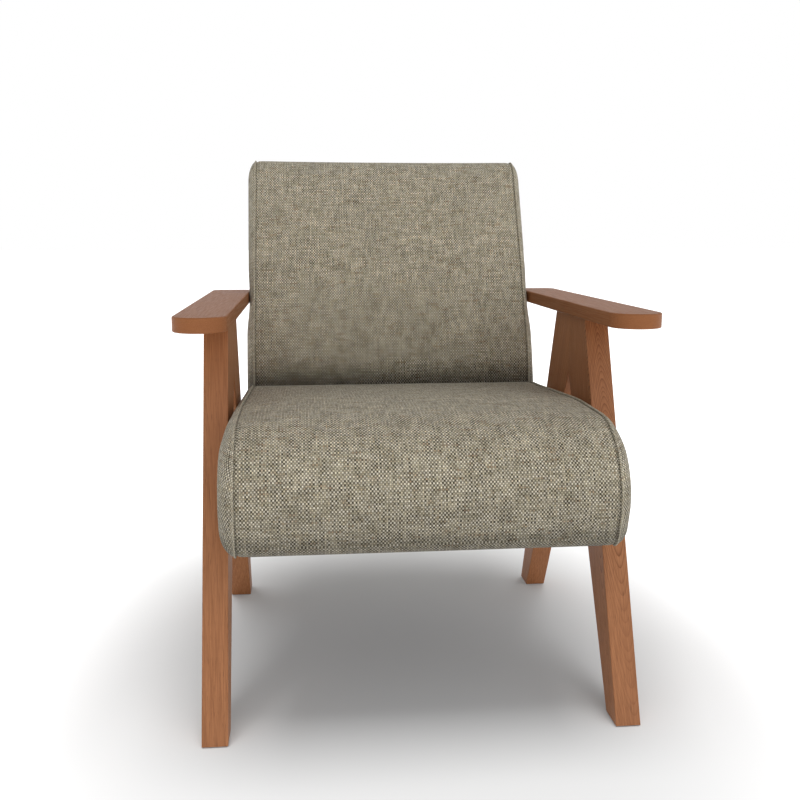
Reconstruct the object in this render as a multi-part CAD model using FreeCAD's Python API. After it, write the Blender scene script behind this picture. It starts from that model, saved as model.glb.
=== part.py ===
import FreeCAD, Part
import math
import os

# Accent chair: an upholstered seat and back between two A-shaped wooden side frames with flat armrests.
# Millimetres. X runs from left to right, Y from front to back, Z up. Heights are above the floor.
# Half widths are measured from the middle plane, and reaches from the middle of the leg frames.

V = FreeCAD.Vector
ORIGIN = V(0, 0, 0)
X_AXIS = V(1, 0, 0)
Y_AXIS = V(0, 1, 0)
Z_AXIS = V(0, 0, 1)

# Legs
leg_thickness = 38.0
leg_inner_half = 287.2
foot_depth = 48.9
foot_reach = 319.7
leg_top_reach = 87.0
leg_apex_height = 493.7
leg_edge_round = 1.2

# Armrests
armrest_underside = 595.0
armrest_thickness = 22.0
armrest_width = 76.6
armrest_inner_lap = 12.4
armrest_front_reach = 290.5
armrest_back_reach = 371.0
armrest_back_round = 18.0
armrest_edge_round = 2.0

# Glides under the feet
glide_proud = 1.5
glide_thickness = 3.0
glide_diameter = 24.0
glide_edge = 0.6
glide_pin_diameter = 3.5
glide_pin_length = 18.0

# Seat pad
seat_side_bulge = 21.8
seat_bottom_height = 291.5
seat_nose_reach = 367.0
seat_nose_height = 467.5
seat_nose_round = 110.0
seat_lip_setback = 2.0
seat_lip_round = 60.0
seat_chin_setback = 14.0
seat_chin_round = 14.0
seat_crest_height = 468.5
seat_crest_setback = 234.0
seat_crest_round = 900.0
crease_height = 446.5
crease_reach = 177.4
crease_round = 12.0
seat_heel_round = 8.0
seat_crown = 6.0
seat_side_depth = 45.0

# Back pad, whose depths and lengths are square to its own slope
recline_angle = 23.3
back_thickness = 100.0
back_side_bulge = 14.4
back_length = 481.3
back_top_round = 48.0
back_crown = 6.0
back_front_bow = 0.8
back_foot_round = 8.0
back_side_depth = 40.0

# Upholstery
cover_thickness = 1.5
soft_gap = 0.4
least_round = 2.0
underside_strip = 26.0
dust_cover_thickness = 0.8
dust_cover_lap = 12.0

# Seat frame
rail_thickness = 28.0
rail_height = 64.0
front_rail_padding = 22.0
rail_end_padding = 9.0
block_leg = 60.0
block_height = 36.0
block_lift = 12.0

# Seat springs
spring_count = 5
spring_wire = 3.8
spring_pitch = 22.0
spring_bar_half = 14.0
clip_metal = 1.2
clip_play = 0.15
clip_width = 14.0
clip_length = 26.0
felt_thickness = 3.0
felt_margin = 8.0
rail_post_gap = 3.0

# Back frame
post_depth = 38.0
post_setback = 42.0
back_frame_top_margin = 40.0
back_rail_height = 50.0
webbing_thickness = 1.5
webbing_width = 50.0
webbing_count = 4
board_thickness = 3.0

# Fasteners
peg_diameter = 10.0
peg_length = 50.0
armrest_peg_depth = 14.0
leg_peg_diameter = 8.0
leg_peg_length = 60.0
bolt_diameter = 8.0
bolt_head_diameter = 18.0
bolt_head_thickness = 2.5
bolt_socket_width = 5.0
bolt_socket_depth = 1.8
bolt_spacing = 35.0
insert_diameter = 12.0
insert_length = 22.0
insert_play = 0.1
sleeve_diameter = 20.0
sleeve_play = 0.3
screw_diameter = 5.0
screw_head_diameter = 10.0
screw_head_thickness = 3.0
screw_bite = 20.0
hole_play = 0.1
touch = 0.01

# Shares and counts
dome_steps = 3
seat_crown_shares = {"crest": 1.0, "nose": 0.7, "lip": 0.6, "chin": 0.2}
seat_lip_share = 0.3125
edge_fit_share = 0.98
leg_peg_shares = (0.3, 0.7)
armrest_peg_shares = (0.45, 0.8)
rail_peg_shares = (0.28, 0.72)
post_screw_shares = (0.36, 0.75)
overrun_share = 1.0

# Sizes that follow
leg_outer_half = leg_inner_half + leg_thickness
leg_middle_half = leg_inner_half + leg_thickness / 2
armrest_inner_half = leg_inner_half - armrest_inner_lap
armrest_outer_half = armrest_inner_half + armrest_width
seat_seam_half = leg_inner_half - soft_gap - seat_side_bulge
back_seam_half = armrest_inner_half - soft_gap - back_side_bulge
seat_lip_height = seat_bottom_height + seat_lip_share * (seat_nose_height - seat_bottom_height)
rail_outer_half = back_seam_half - soft_gap
rail_inner_half = rail_outer_half - rail_thickness
post_inner_half = rail_inner_half - rail_thickness
rail_bottom = seat_bottom_height + cover_thickness
rail_top = rail_bottom + rail_height
clip_rise = spring_wire + 2 * (clip_metal + clip_play)
side_rail_top = rail_top + clip_rise
felt_top = side_rail_top + felt_thickness
felt_level = felt_top + soft_gap
front_rail_front = -(seat_nose_reach - seat_chin_setback - front_rail_padding)
front_rail_back = front_rail_front + rail_thickness
bolt_height = rail_bottom + rail_height / 2
overrun = overrun_share * back_thickness
slope_sine = math.sin(math.radians(recline_angle))
slope_cosine = math.cos(math.radians(recline_angle))


# Helpers
def box(low, high):
    size = high.sub(low)
    return Part.makeBox(size.x, size.y, size.z, low)


def rod(start, end, diameter):
    line = end.sub(start)
    return Part.makeCylinder(diameter / 2, line.Length, start, line)


def rods_solid(rods):
    return joined([rod(*sizes) for sizes in rods]) if len(rods) > 1 else rod(*rods[0])


def rods_hole(rods):
    # The same rods, wider and longer by the play that a hole needs
    holes = []
    for start, end, diameter in rods:
        play = end.sub(start).normalize() * hole_play
        holes.append(rod(start.sub(play), end.add(play), diameter + 2 * hole_play))
    return joined(holes) if len(holes) > 1 else holes[0]


def mirrored(shape):
    return shape.mirror(ORIGIN, X_AXIS)


def both_sides(shape):
    return [shape, mirrored(shape)]


def joined(shapes):
    return shapes[0].fuse(shapes[1:]).removeSplitter()


def group(shapes):
    return Part.makeCompound(shapes)


def rod_group(rod_lists):
    return group([half for rods in rod_lists for half in both_sides(rods_solid(rods))])


def back_point(depth, along):
    # Depth is into the back pad from its front face, along is up its slope from the crease
    y = crease_reach + depth * slope_cosine + along * slope_sine
    z = crease_height - depth * slope_sine + along * slope_cosine
    return y, z


def along_at_height(depth, height):
    return (height - crease_height + depth * slope_sine) / slope_cosine


def back_reach_at(depth, height):
    return back_point(depth, along_at_height(depth, height))[0]


def reclined(shape):
    turned = shape.copy()
    turned.rotate(ORIGIN, X_AXIS, -recline_angle)
    turned.translate(V(0, crease_reach, crease_height))
    return turned


def above_rail_bottom(shape):
    floor_box = box(V(-leg_outer_half, -foot_reach - overrun, -overrun),
                    V(leg_outer_half, foot_reach + overrun, rail_bottom))
    return shape.cut(floor_box)


# Outlines in the Y-Z plane, counter-clockwise: a corner is its y, z, rounding and the bow of its next edge
def inset_corners(corners, inset):
    count = len(corners)
    moved = []
    for index in range(count):
        y0, z0 = corners[index - 1][:2]
        y1, z1, rounding, bow = corners[index]
        y2, z2 = corners[(index + 1) % count][:2]
        before = V(0, y1 - y0, z1 - z0).normalize()
        after = V(0, y2 - y1, z2 - z1).normalize()
        inward = V(0, -before.z - after.z, before.y + after.y)
        scale = inset * 2 / inward.dot(inward)
        shrunk = max(rounding - inset, least_round) if rounding else rounding
        moved.append((y1 + inward.y * scale, z1 + inward.z * scale, shrunk, bow))
    return moved


def fitted_roundings(points, corners):
    # A rounding gives way where the edge beside it is too short for the roundings at both its ends
    count = len(points)
    reaches = []
    lengths = []
    for index in range(count):
        before = points[index].sub(points[index - 1])
        after = points[(index + 1) % count].sub(points[index])
        reaches.append(corners[index][2] * math.tan(before.getAngle(after) / 2))
        lengths.append(after.Length)
    fits = []
    for index in range(count):
        taken = reaches[index] + reaches[(index + 1) % count]
        fits.append(min(1, edge_fit_share * lengths[index] / taken) if taken else 1)
    return [corners[index][2] * min(fits[index - 1], fits[index]) for index in range(count)]


def outline(corners, x):
    count = len(corners)
    points = [V(x, corner[0], corner[1]) for corner in corners]
    roundings = fitted_roundings(points, corners)
    entries = []
    exits = []
    arcs = []
    for index in range(count):
        corner = points[index]
        before = corner.sub(points[index - 1]).normalize()
        after = points[(index + 1) % count].sub(corner).normalize()
        rounding = roundings[index]
        half_turn = before.getAngle(after) / 2
        reach = rounding * math.tan(half_turn)
        entries.append(corner.sub(before * reach))
        exits.append(corner.add(after * reach))
        arcs.append(None)
        if rounding:
            inward = after.sub(before).normalize()
            centre = corner.add(inward * (rounding / math.cos(half_turn)))
            middle = centre.sub(inward * rounding)
            arcs[index] = Part.Arc(entries[index], middle, exits[index]).toShape()
    edges = []
    for index in range(count):
        if arcs[index]:
            edges.append(arcs[index])
        start = exits[index]
        end = entries[(index + 1) % count]
        bow = corners[index][3]
        if bow:
            run = end.sub(start).normalize()
            middle = start.add(end) * 0.5 + V(0, run.z, -run.y) * bow
            edges.append(Part.Arc(start, middle, end).toShape())
        else:
            edges.append(Part.LineSegment(start, end).toShape())
    return Part.Wire(edges)


def pad_solid(edge_corners, middle_corners, seam_half, bulge, side_depth, skin):
    # A crowned band between the two seams, and a domed side outside each seam
    half = seam_half - skin
    edge = inset_corners(edge_corners, skin)
    middle = inset_corners(middle_corners, skin)
    band = Part.makeLoft([outline(edge, -half), outline(middle, 0), outline(edge, half)], True, False)
    sections = [outline(edge, half)]
    for step in range(dome_steps):
        turn = math.radians(90) * (step + 1) / dome_steps
        inset = side_depth * (1 - math.cos(turn))
        sections.append(outline(inset_corners(edge, inset), half + bulge * math.sin(turn)))
    dome = Part.makeLoft(sections, True, False)
    return band.fuse([dome, mirrored(dome)])


# Seat and back outlines
def seat_corners(crown):
    shares = seat_crown_shares
    front = -seat_nose_reach
    heel_reach = back_reach_at(-soft_gap, seat_bottom_height)
    top_reach, top_height = back_point(-soft_gap, 0)
    lip = front + seat_lip_setback
    chin = front + seat_chin_setback
    crest = front + seat_crest_setback
    return [
        (chin - crown * shares["chin"], seat_bottom_height, seat_chin_round, 0),
        (heel_reach, seat_bottom_height, seat_heel_round, 0),
        (top_reach, top_height, crease_round, 0),
        (crest, seat_crest_height + crown * shares["crest"], seat_crest_round, 0),
        (front - crown * shares["nose"], seat_nose_height + crown * shares["nose"], seat_nose_round, 0),
        (lip - crown * shares["lip"], seat_lip_height, seat_lip_round, 0),
    ]


def back_corners(crown):
    heel = back_point(back_thickness, along_at_height(back_thickness, seat_bottom_height))
    toe = back_point(0, along_at_height(0, seat_bottom_height))
    crown_start = back_point(0, back_thickness / 2)
    return [
        (*toe, back_foot_round, 0),
        (*heel, back_foot_round, 0),
        (*back_point(back_thickness, back_length), back_top_round, 0),
        (*back_point(0, back_length), back_top_round, back_front_bow + crown),
        (*crown_start, 0, 0),
    ]


def seat_body(skin):
    edge = seat_corners(0)
    middle = seat_corners(seat_crown)
    return pad_solid(edge, middle, seat_seam_half, seat_side_bulge, seat_side_depth, skin)


def back_body(skin):
    edge = back_corners(0)
    middle = back_corners(back_crown)
    return pad_solid(edge, middle, back_seam_half, back_side_bulge, back_side_depth, skin)


# Places that several pieces share
def leg_edges_at(height):
    rise = (height - glide_proud) / (armrest_underside - glide_proud)
    outer = foot_reach - (foot_reach - leg_top_reach) * rise
    inner_rise = (height - glide_proud) / (leg_apex_height - glide_proud)
    inner = (foot_reach - foot_depth) * (1 - inner_rise)
    return inner, outer


def bolt_reaches():
    inner, outer = leg_edges_at(bolt_height)
    middle = (inner + outer) / 2
    return [side * (middle + offset) for side in (-1, 1) for offset in (-bolt_spacing / 2, bolt_spacing / 2)]


def bolt_axis_rod(inner_half, outer_half, reach, diameter):
    return rod(V(inner_half, reach, bolt_height), V(outer_half, reach, bolt_height), diameter)


post_bottom_reach = back_reach_at(post_setback, rail_bottom)
rear_rail_back = post_bottom_reach - rail_post_gap
rear_rail_front = rear_rail_back - rail_thickness
side_rail_back = back_reach_at(back_thickness, seat_bottom_height) - rail_end_padding
frame_top_along = back_length - back_frame_top_margin
rail_mid_reaches = ((front_rail_front + front_rail_back) / 2, (rear_rail_front + rear_rail_back) / 2)


# Wooden side frames
def leg_pegs():
    joint_height = armrest_underside - leg_apex_height
    pegs = []
    for share in leg_peg_shares:
        height = leg_apex_height + joint_height * share
        ends = [V(leg_middle_half, side * leg_peg_length / 2, height) for side in (-1, 1)]
        pegs.append([(ends[0], ends[1], leg_peg_diameter)])
    return pegs


def armrest_pegs():
    pegs = []
    for side in (-1, 1):
        for share in armrest_peg_shares:
            top = V(leg_middle_half, side * leg_top_reach * share, armrest_underside + armrest_peg_depth)
            pegs.append([(top - Z_AXIS * peg_length, top, peg_diameter)])
    return pegs


def glide_rods(side):
    base = V(leg_middle_half, side * (foot_reach - foot_depth / 2), 0)
    disc_top = base + Z_AXIS * glide_thickness
    pin_top = disc_top + Z_AXIS * glide_pin_length
    return [(base, disc_top, glide_diameter), (base, pin_top, glide_pin_diameter)]


def glide(side):
    solid = rods_solid(glide_rods(side))
    rim = [edge for edge in solid.Edges if edge.BoundBox.ZMax < touch and edge.BoundBox.YLength > glide_edge]
    return solid.makeChamfer(glide_edge, rim)


def leg(side):
    foot_inner = foot_reach - foot_depth
    points = [
        V(leg_inner_half, side * foot_inner, glide_proud),
        V(leg_inner_half, side * foot_reach, glide_proud),
        V(leg_inner_half, side * leg_top_reach, armrest_underside),
        V(leg_inner_half, 0, armrest_underside),
        V(leg_inner_half, 0, leg_apex_height),
    ]
    face = Part.Face(Part.makePolygon(points + points[:1]))
    solid = face.extrude(X_AXIS * leg_thickness)
    rounded = []
    for edge in solid.Edges:
        bounds = edge.BoundBox
        in_joint = abs(bounds.YMin) < touch and abs(bounds.YMax) < touch
        if not in_joint and bounds.ZMin < armrest_underside - touch:
            rounded.append(edge)
    solid = solid.makeFillet(leg_edge_round, rounded)
    cuts = [rods_hole(rods) for rods in leg_pegs() + armrest_pegs() + [glide_rods(side)]]
    bolt_hole = bolt_diameter + 2 * hole_play
    for reach in bolt_reaches():
        cuts.append(bolt_axis_rod(leg_inner_half - overrun, leg_outer_half + overrun, reach, bolt_hole))
    return solid.cut(cuts)


def armrest():
    radius = armrest_width / 2
    middle = armrest_inner_half + radius
    front = -armrest_front_reach + radius
    corner = armrest_back_round
    bow = corner * (1 - math.sqrt(0.5))
    z = armrest_underside

    def point(x, y):
        return V(x, y, z)

    left_front = point(armrest_inner_half, front)
    right_front = point(armrest_outer_half, front)
    tip = point(middle, -armrest_front_reach)
    right_back = point(armrest_outer_half, armrest_back_reach - corner)
    back_right = point(armrest_outer_half - corner, armrest_back_reach)
    back_left = point(armrest_inner_half + corner, armrest_back_reach)
    left_back = point(armrest_inner_half, armrest_back_reach - corner)
    right_bend = point(armrest_outer_half - bow, armrest_back_reach - bow)
    left_bend = point(armrest_inner_half + bow, armrest_back_reach - bow)
    edges = [
        Part.Arc(left_front, tip, right_front).toShape(),
        Part.LineSegment(right_front, right_back).toShape(),
        Part.Arc(right_back, right_bend, back_right).toShape(),
        Part.LineSegment(back_right, back_left).toShape(),
        Part.Arc(back_left, left_bend, left_back).toShape(),
        Part.LineSegment(left_back, left_front).toShape(),
    ]
    board = Part.Face(Part.Wire(edges)).extrude(Z_AXIS * armrest_thickness)
    rims = [edge for edge in board.Edges if edge.BoundBox.ZLength < armrest_edge_round]
    board = board.makeFillet(armrest_edge_round, rims)
    return board.cut([rods_hole(peg) for peg in armrest_pegs()])


# Bolts through the legs into the seat rails
def frame_bolt(reach):
    shank = bolt_axis_rod(rail_outer_half - insert_length, leg_outer_half, reach, bolt_diameter)
    head = bolt_axis_rod(leg_outer_half, leg_outer_half + bolt_head_thickness, reach, bolt_head_diameter)
    face_side = leg_outer_half + bolt_head_thickness / 2
    wide = [edge for edge in head.Edges if edge.BoundBox.YLength > bolt_diameter]
    rim = [edge for edge in wide if edge.BoundBox.XMin > face_side]
    head = head.makeFillet(bolt_head_thickness / 2, rim)
    socket_radius = bolt_socket_width / math.sqrt(3)
    corners = []
    for step in range(7):
        turn = math.radians(60) * step
        corners.append(V(leg_outer_half + bolt_head_thickness, reach + socket_radius * math.cos(turn),
                         bolt_height + socket_radius * math.sin(turn)))
    socket = Part.Face(Part.makePolygon(corners)).extrude(X_AXIS * -bolt_socket_depth)
    return shank.fuse(head).removeSplitter().cut(socket)


def bolt_sleeve(reach):
    tube = bolt_axis_rod(rail_outer_half, leg_inner_half, reach, sleeve_diameter)
    bore = bolt_axis_rod(rail_outer_half, leg_inner_half, reach, bolt_diameter + 2 * sleeve_play)
    return tube.cut(bore)


def rail_insert(reach):
    inner_end = rail_outer_half - insert_length
    tube = bolt_axis_rod(inner_end, rail_outer_half, reach, insert_diameter)
    bore = bolt_axis_rod(inner_end, rail_outer_half, reach, bolt_diameter + 2 * insert_play)
    return tube.cut(bore)


# Seat frame
def rail_pegs():
    pegs = []
    for reach in rail_mid_reaches:
        for share in rail_peg_shares:
            height = rail_bottom + rail_height * share
            outer = V(rail_inner_half + screw_bite, reach, height)
            pegs.append([(outer - X_AXIS * peg_length, outer, peg_diameter)])
    return pegs


def post_screws():
    screws = []
    for share in post_screw_shares:
        height = rail_bottom + rail_height * share
        reach = back_reach_at(post_setback + post_depth / 2, height)
        head_end = V(rail_outer_half, reach, height)
        tip = V(rail_inner_half - screw_bite, reach, height)
        neck = head_end - X_AXIS * screw_head_thickness
        screws.append([(head_end, neck, screw_head_diameter), (neck, tip, screw_diameter)])
    return screws


def side_rail():
    rail = box(V(rail_inner_half, front_rail_front, rail_bottom),
               V(rail_outer_half, side_rail_back, side_rail_top))
    cuts = [rods_hole(rods) for rods in rail_pegs() + post_screws()]
    for reach in bolt_reaches():
        start = rail_outer_half - insert_length
        cuts.append(bolt_axis_rod(start, rail_outer_half, reach, insert_diameter))
    return rail.cut(cuts)


def cross_rail(front, back):
    rail = box(V(-rail_inner_half, front, rail_bottom), V(rail_inner_half, back, rail_top))
    cuts = [half for peg in rail_pegs() for half in both_sides(rods_hole(peg))]
    return rail.cut(cuts)


def corner_block(reach, direction):
    low = rail_bottom + block_lift
    corner = V(rail_inner_half, reach, low)
    points = [corner, corner - X_AXIS * block_leg, corner + Y_AXIS * (direction * block_leg), corner]
    return Part.Face(Part.makePolygon(points)).extrude(Z_AXIS * block_height)


# Seat springs, their clips and the felt
spring_height = rail_top + clip_metal + clip_play + spring_wire / 2
spring_places = [rail_inner_half * (2 * (index + 0.5) / spring_count - 1) for index in range(spring_count)]


def seat_spring(x):
    front, back = rail_mid_reaches
    bars = 2 * round((back - front) / spring_pitch / 2) + 1
    pitch = (back - front) / (bars - 1)
    half = spring_bar_half
    edges = []
    for index in range(bars):
        y = front + pitch * index
        side = 1 if index % 2 == 0 else -1
        start = V(x - side * half, y, spring_height)
        end = V(x + side * half, y, spring_height)
        edges.append(Part.LineSegment(start, end).toShape())
        if index < bars - 1:
            radius = pitch / 2
            centre = end + Y_AXIS * radius
            far = centre + X_AXIS * (side * radius)
            slant = radius * math.sqrt(0.5)
            first = centre + V(side * slant, -slant, 0)
            second = centre + V(side * slant, slant, 0)
            edges.append(Part.Arc(end, first, far).toShape())
            edges.append(Part.Arc(far, second, centre + Y_AXIS * radius).toShape())
    path = Part.Wire(edges)
    start = V(x - half, front, spring_height)
    section = Part.Wire(Part.makeCircle(spring_wire / 2, start, X_AXIS))
    return path.makePipeShell([section], True, False)


def spring_clip(x, reach):
    tube_radius = spring_wire / 2 + clip_play + clip_metal
    plate = box(V(x - clip_width / 2, reach - clip_length / 2, rail_top),
                V(x + clip_width / 2, reach + clip_length / 2, rail_top + clip_metal))
    ends = [V(x + side * clip_width / 2, reach, spring_height) for side in (-1, 1)]
    curl = rod(ends[0], ends[1], 2 * tube_radius)
    bore = rod(ends[0], ends[1], spring_wire + 2 * clip_play)
    return joined([plate, curl]).cut(bore)


# Back frame
def back_rail_spans():
    middle_bottom = along_at_height(post_setback + post_depth / 2, rail_bottom)
    return {
        "top": (frame_top_along - back_rail_height, frame_top_along),
        "bottom": (middle_bottom, middle_bottom + back_rail_height),
    }


def back_pegs():
    pegs = []
    for low, high in back_rail_spans().values():
        for share in rail_peg_shares:
            y, z = back_point(post_setback + post_depth / 2, low + (high - low) * share)
            outer = V(post_inner_half + screw_bite, y, z)
            pegs.append([(outer - X_AXIS * peg_length, outer, peg_diameter)])
    return pegs


def back_frame_board(inner_half, outer_half, low, high):
    back = post_setback + post_depth
    return above_rail_bottom(reclined(box(V(inner_half, post_setback, low), V(outer_half, back, high))))


def post():
    low = along_at_height(post_setback, rail_bottom) - overrun
    upright = back_frame_board(post_inner_half, rail_inner_half, low, frame_top_along)
    return upright.cut([rods_hole(rods) for rods in post_screws() + back_pegs()])


def back_rail(place):
    low, high = back_rail_spans()[place]
    if place == "bottom":
        low = low - overrun
    rail = back_frame_board(-post_inner_half, post_inner_half, low, high)
    return rail.cut([half for peg in back_pegs() for half in both_sides(rods_hole(peg))])


def webbing_straps():
    low = back_rail_spans()["bottom"][1] + webbing_width
    high = back_rail_spans()["top"][0] - webbing_width
    straps = []
    for index in range(webbing_count):
        along = low + (high - low) * index / (webbing_count - 1)
        straps.append(reclined(box(
            V(-rail_inner_half, post_setback - webbing_thickness, along - webbing_width / 2),
            V(rail_inner_half, post_setback, along + webbing_width / 2))))
    return straps


def backing_board():
    front = post_setback + post_depth
    low = along_at_height(front, rail_bottom) - overrun
    sheet = box(V(-rail_inner_half + soft_gap, front, low),
                V(rail_inner_half - soft_gap, front + board_thickness, frame_top_along))
    return above_rail_bottom(reclined(sheet))


# Upholstery
def frame_zone():
    low = V(-rail_outer_half - soft_gap, front_rail_front - soft_gap, rail_bottom)
    high = V(rail_outer_half + soft_gap, side_rail_back + soft_gap, felt_level)
    return box(low, high)


def underside_span(lap):
    half = seat_seam_half - underside_strip + lap
    front = front_rail_front + rail_end_padding - lap
    back = side_rail_back - 2 * rail_end_padding + lap
    return half, front, back


def underside_hole():
    half, front, back = underside_span(0)
    return box(V(-half, front, seat_bottom_height - overrun), V(half, back, rail_bottom))


def dust_cover():
    half, front, back = underside_span(dust_cover_lap)
    return box(V(-half, front, seat_bottom_height - dust_cover_thickness), V(half, back, seat_bottom_height))


def sleeve_holes():
    holes = []
    for reach in bolt_reaches():
        hole = bolt_axis_rod(rail_outer_half, leg_inner_half, reach, sleeve_diameter + 2 * soft_gap)
        holes.extend(both_sides(hole))
    return holes


def between_seams(seam_half):
    span = foot_reach + back_length
    return box(V(-seam_half, -span, -overrun), V(seam_half, span, span + crease_height))


def outside_seam(seam_half):
    span = foot_reach + back_length
    return box(V(seam_half, -span, -overrun), V(leg_outer_half, span, span + crease_height))


def back_layer(front_depth, back_depth):
    # A slab of the back pad's depth, as tall as the pad and past its sides
    return reclined(box(V(-leg_outer_half, front_depth, -back_length),
                        V(leg_outer_half, back_depth, back_length)))


def back_hollow():
    front = post_setback - webbing_thickness - soft_gap
    half = rail_inner_half + soft_gap
    return reclined(box(V(-half, front, -back_length),
                        V(half, back_thickness, frame_top_along + soft_gap)))


cover_cuts = [frame_zone(), underside_hole()] + sleeve_holes()
seat_cover = seat_body(0).cut(seat_body(cover_thickness)).cut(cover_cuts)
back_cover = back_body(0).cut(back_body(cover_thickness)).cut(cover_cuts)
padding_skin = cover_thickness + soft_gap
padding_split = post_setback + post_depth + board_thickness
seat_foam = seat_body(padding_skin).cut([frame_zone()] + sleeve_holes())
back_inner = back_body(padding_skin).cut([frame_zone()] + sleeve_holes())
outside_split_along = back_length - back_top_round
behind_the_top = reclined(box(V(-back_seam_half, back_thickness / 2, -back_length),
                              V(back_seam_half, back_thickness + overrun, outside_split_along)))
low_zone = box(V(-leg_outer_half, -foot_reach, -overrun), V(leg_outer_half, foot_reach, felt_level))
below_the_felt = between_seams(back_seam_half).common(low_zone)
outside_panel_zone = joined([behind_the_top, below_the_felt])
back_band = back_cover.common(between_seams(back_seam_half))

# All pieces by name
right_pieces = {
    "front_leg": leg(-1),
    "back_leg": leg(1),
    "armrest": armrest(),
    "seat_side_rail": side_rail(),
    "back_post": post(),
    "seat_side_panel": seat_cover.common(outside_seam(seat_seam_half)),
    "back_side_panel": back_cover.common(outside_seam(back_seam_half)),
}
pieces = {}
for name, shape in right_pieces.items():
    pieces[name + "_right"] = shape
    pieces[name + "_left"] = mirrored(shape)

pieces["leg_pegs"] = rod_group(leg_pegs())
pieces["armrest_pegs"] = rod_group(armrest_pegs())
pieces["foot_glides"] = group([half for side in (-1, 1) for half in both_sides(glide(side))])
pieces["frame_bolts"] = group([half for reach in bolt_reaches() for half in both_sides(frame_bolt(reach))])
pieces["bolt_sleeves"] = group([half for reach in bolt_reaches() for half in both_sides(bolt_sleeve(reach))])
pieces["rail_inserts"] = group([half for reach in bolt_reaches() for half in both_sides(rail_insert(reach))])

pieces["seat_front_rail"] = cross_rail(front_rail_front, front_rail_back)
pieces["seat_rear_rail"] = cross_rail(rear_rail_front, rear_rail_back)
pieces["seat_rail_pegs"] = rod_group(rail_pegs())
blocks = [corner_block(front_rail_back, 1), corner_block(rear_rail_front, -1)]
pieces["corner_blocks"] = group([half for block in blocks for half in both_sides(block)])
pieces["seat_springs"] = group([seat_spring(x) for x in spring_places])
pieces["spring_clips"] = group([spring_clip(x, reach) for x in spring_places for reach in rail_mid_reaches])
pieces["seat_felt"] = box(
    V(-rail_outer_half + felt_margin, front_rail_front + felt_margin, side_rail_top),
    V(rail_outer_half - felt_margin, rear_rail_back, felt_top))
pieces["seat_foam"] = seat_foam
pieces["seat_top_panel"] = seat_cover.common(between_seams(seat_seam_half))
pieces["dust_cover"] = dust_cover()

pieces["back_top_rail"] = back_rail("top")
pieces["back_bottom_rail"] = back_rail("bottom")
pieces["back_rail_pegs"] = rod_group(back_pegs())
pieces["post_screws"] = rod_group(post_screws())
pieces["back_webbing"] = group(webbing_straps())
pieces["back_board"] = backing_board()
pieces["back_foam"] = back_inner.common(back_layer(0, padding_split)).cut(back_hollow())
pieces["back_rear_padding"] = back_inner.common(back_layer(padding_split + soft_gap, back_thickness))
pieces["back_front_panel"] = back_band.cut(outside_panel_zone)
pieces["back_outside_panel"] = back_band.common(outside_panel_zone)

# The origin is the middle of the whole chair's footprint, at the floor
bounds = FreeCAD.BoundBox()
for shape in pieces.values():
    bounds.add(shape.optimalBoundingBox(False))
middle_reach = (bounds.YMin + bounds.YMax) / 2

os.makedirs("parts", exist_ok=True)
for name, shape in pieces.items():
    placed = shape.copy()
    placed.translate(V(0, -middle_reach, 0))
    placed.exportStep(f"parts/{name}.step")
    kinds = f"{len(placed.Solids)} solid" if len(placed.Solids) == 1 else f"{len(placed.Solids)} solids"
    print(name, kinds, "valid" if placed.isValid() else "NOT VALID", f"{placed.Volume / 1000:.1f} cm3")
print("overall", bounds.XLength, bounds.YLength, bounds.ZLength)
print("floor", bounds.ZMin, "middle", middle_reach)
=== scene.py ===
# %% [markdown]
# # A lounge chair with A-shaped wooden sides
#
# The chair is an upholstered seat and a reclined back, held between two wooden side frames that carry
# flat armrests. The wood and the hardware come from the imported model, which is loaded first and never
# moved. What is made here is the part that solid modelling leaves plain: the two sewn pads, the cloth under
# the seat with its staples, and a finish for every piece.

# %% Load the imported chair
import math

import bmesh
import bpy
from mathutils import Matrix, Vector
from mathutils.kdtree import KDTree
from mathutils.noise import noise


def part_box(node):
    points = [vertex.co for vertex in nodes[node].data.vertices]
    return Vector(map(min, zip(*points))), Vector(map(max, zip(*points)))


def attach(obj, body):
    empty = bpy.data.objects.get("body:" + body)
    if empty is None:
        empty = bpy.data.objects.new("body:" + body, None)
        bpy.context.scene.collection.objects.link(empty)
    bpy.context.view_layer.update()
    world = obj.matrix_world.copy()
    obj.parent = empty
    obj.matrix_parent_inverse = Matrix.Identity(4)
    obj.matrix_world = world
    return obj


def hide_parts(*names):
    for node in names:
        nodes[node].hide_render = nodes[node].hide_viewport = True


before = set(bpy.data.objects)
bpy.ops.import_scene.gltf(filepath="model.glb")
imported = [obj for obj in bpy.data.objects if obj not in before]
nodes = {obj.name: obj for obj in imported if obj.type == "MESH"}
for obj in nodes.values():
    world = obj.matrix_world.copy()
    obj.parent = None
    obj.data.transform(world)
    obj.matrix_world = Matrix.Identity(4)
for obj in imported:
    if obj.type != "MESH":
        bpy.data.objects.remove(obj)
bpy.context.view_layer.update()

# %% [markdown]
# ## Places that the soft pieces share
#
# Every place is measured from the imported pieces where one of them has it. The middle of the leg frames is
# halfway between the front edge of a front foot and the back edge of a back foot. The boxes of the side
# panels say where each pad's seam runs and how far out its side domes. Only the reach of the legs' tops is
# written as a number, because the armrests lie over it.

# %% Measure the frame
legs_middle = (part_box("front_leg_right")[0].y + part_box("back_leg_right")[1].y) / 2
foot_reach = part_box("back_leg_right")[1].y - legs_middle
leg_top_reach = 0.087
arm_low, arm_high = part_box("armrest_right")
seat_side_low, seat_side_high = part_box("seat_side_panel_right")
back_side_low, back_side_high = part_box("back_side_panel_right")
seat_bottom = seat_side_low.z
print("middle of the legs", round(legs_middle, 5), "seat half width", round(seat_side_high.x, 4))

# %% [markdown]
# ## The camera
#
# The photograph is taken a little above the armrests, from a step to the left of the chair, and looks
# slightly down. The place, the two turns and the lens were solved from the straight edges of the wood,
# so the camera comes first and everything after it can be judged through it.

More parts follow.
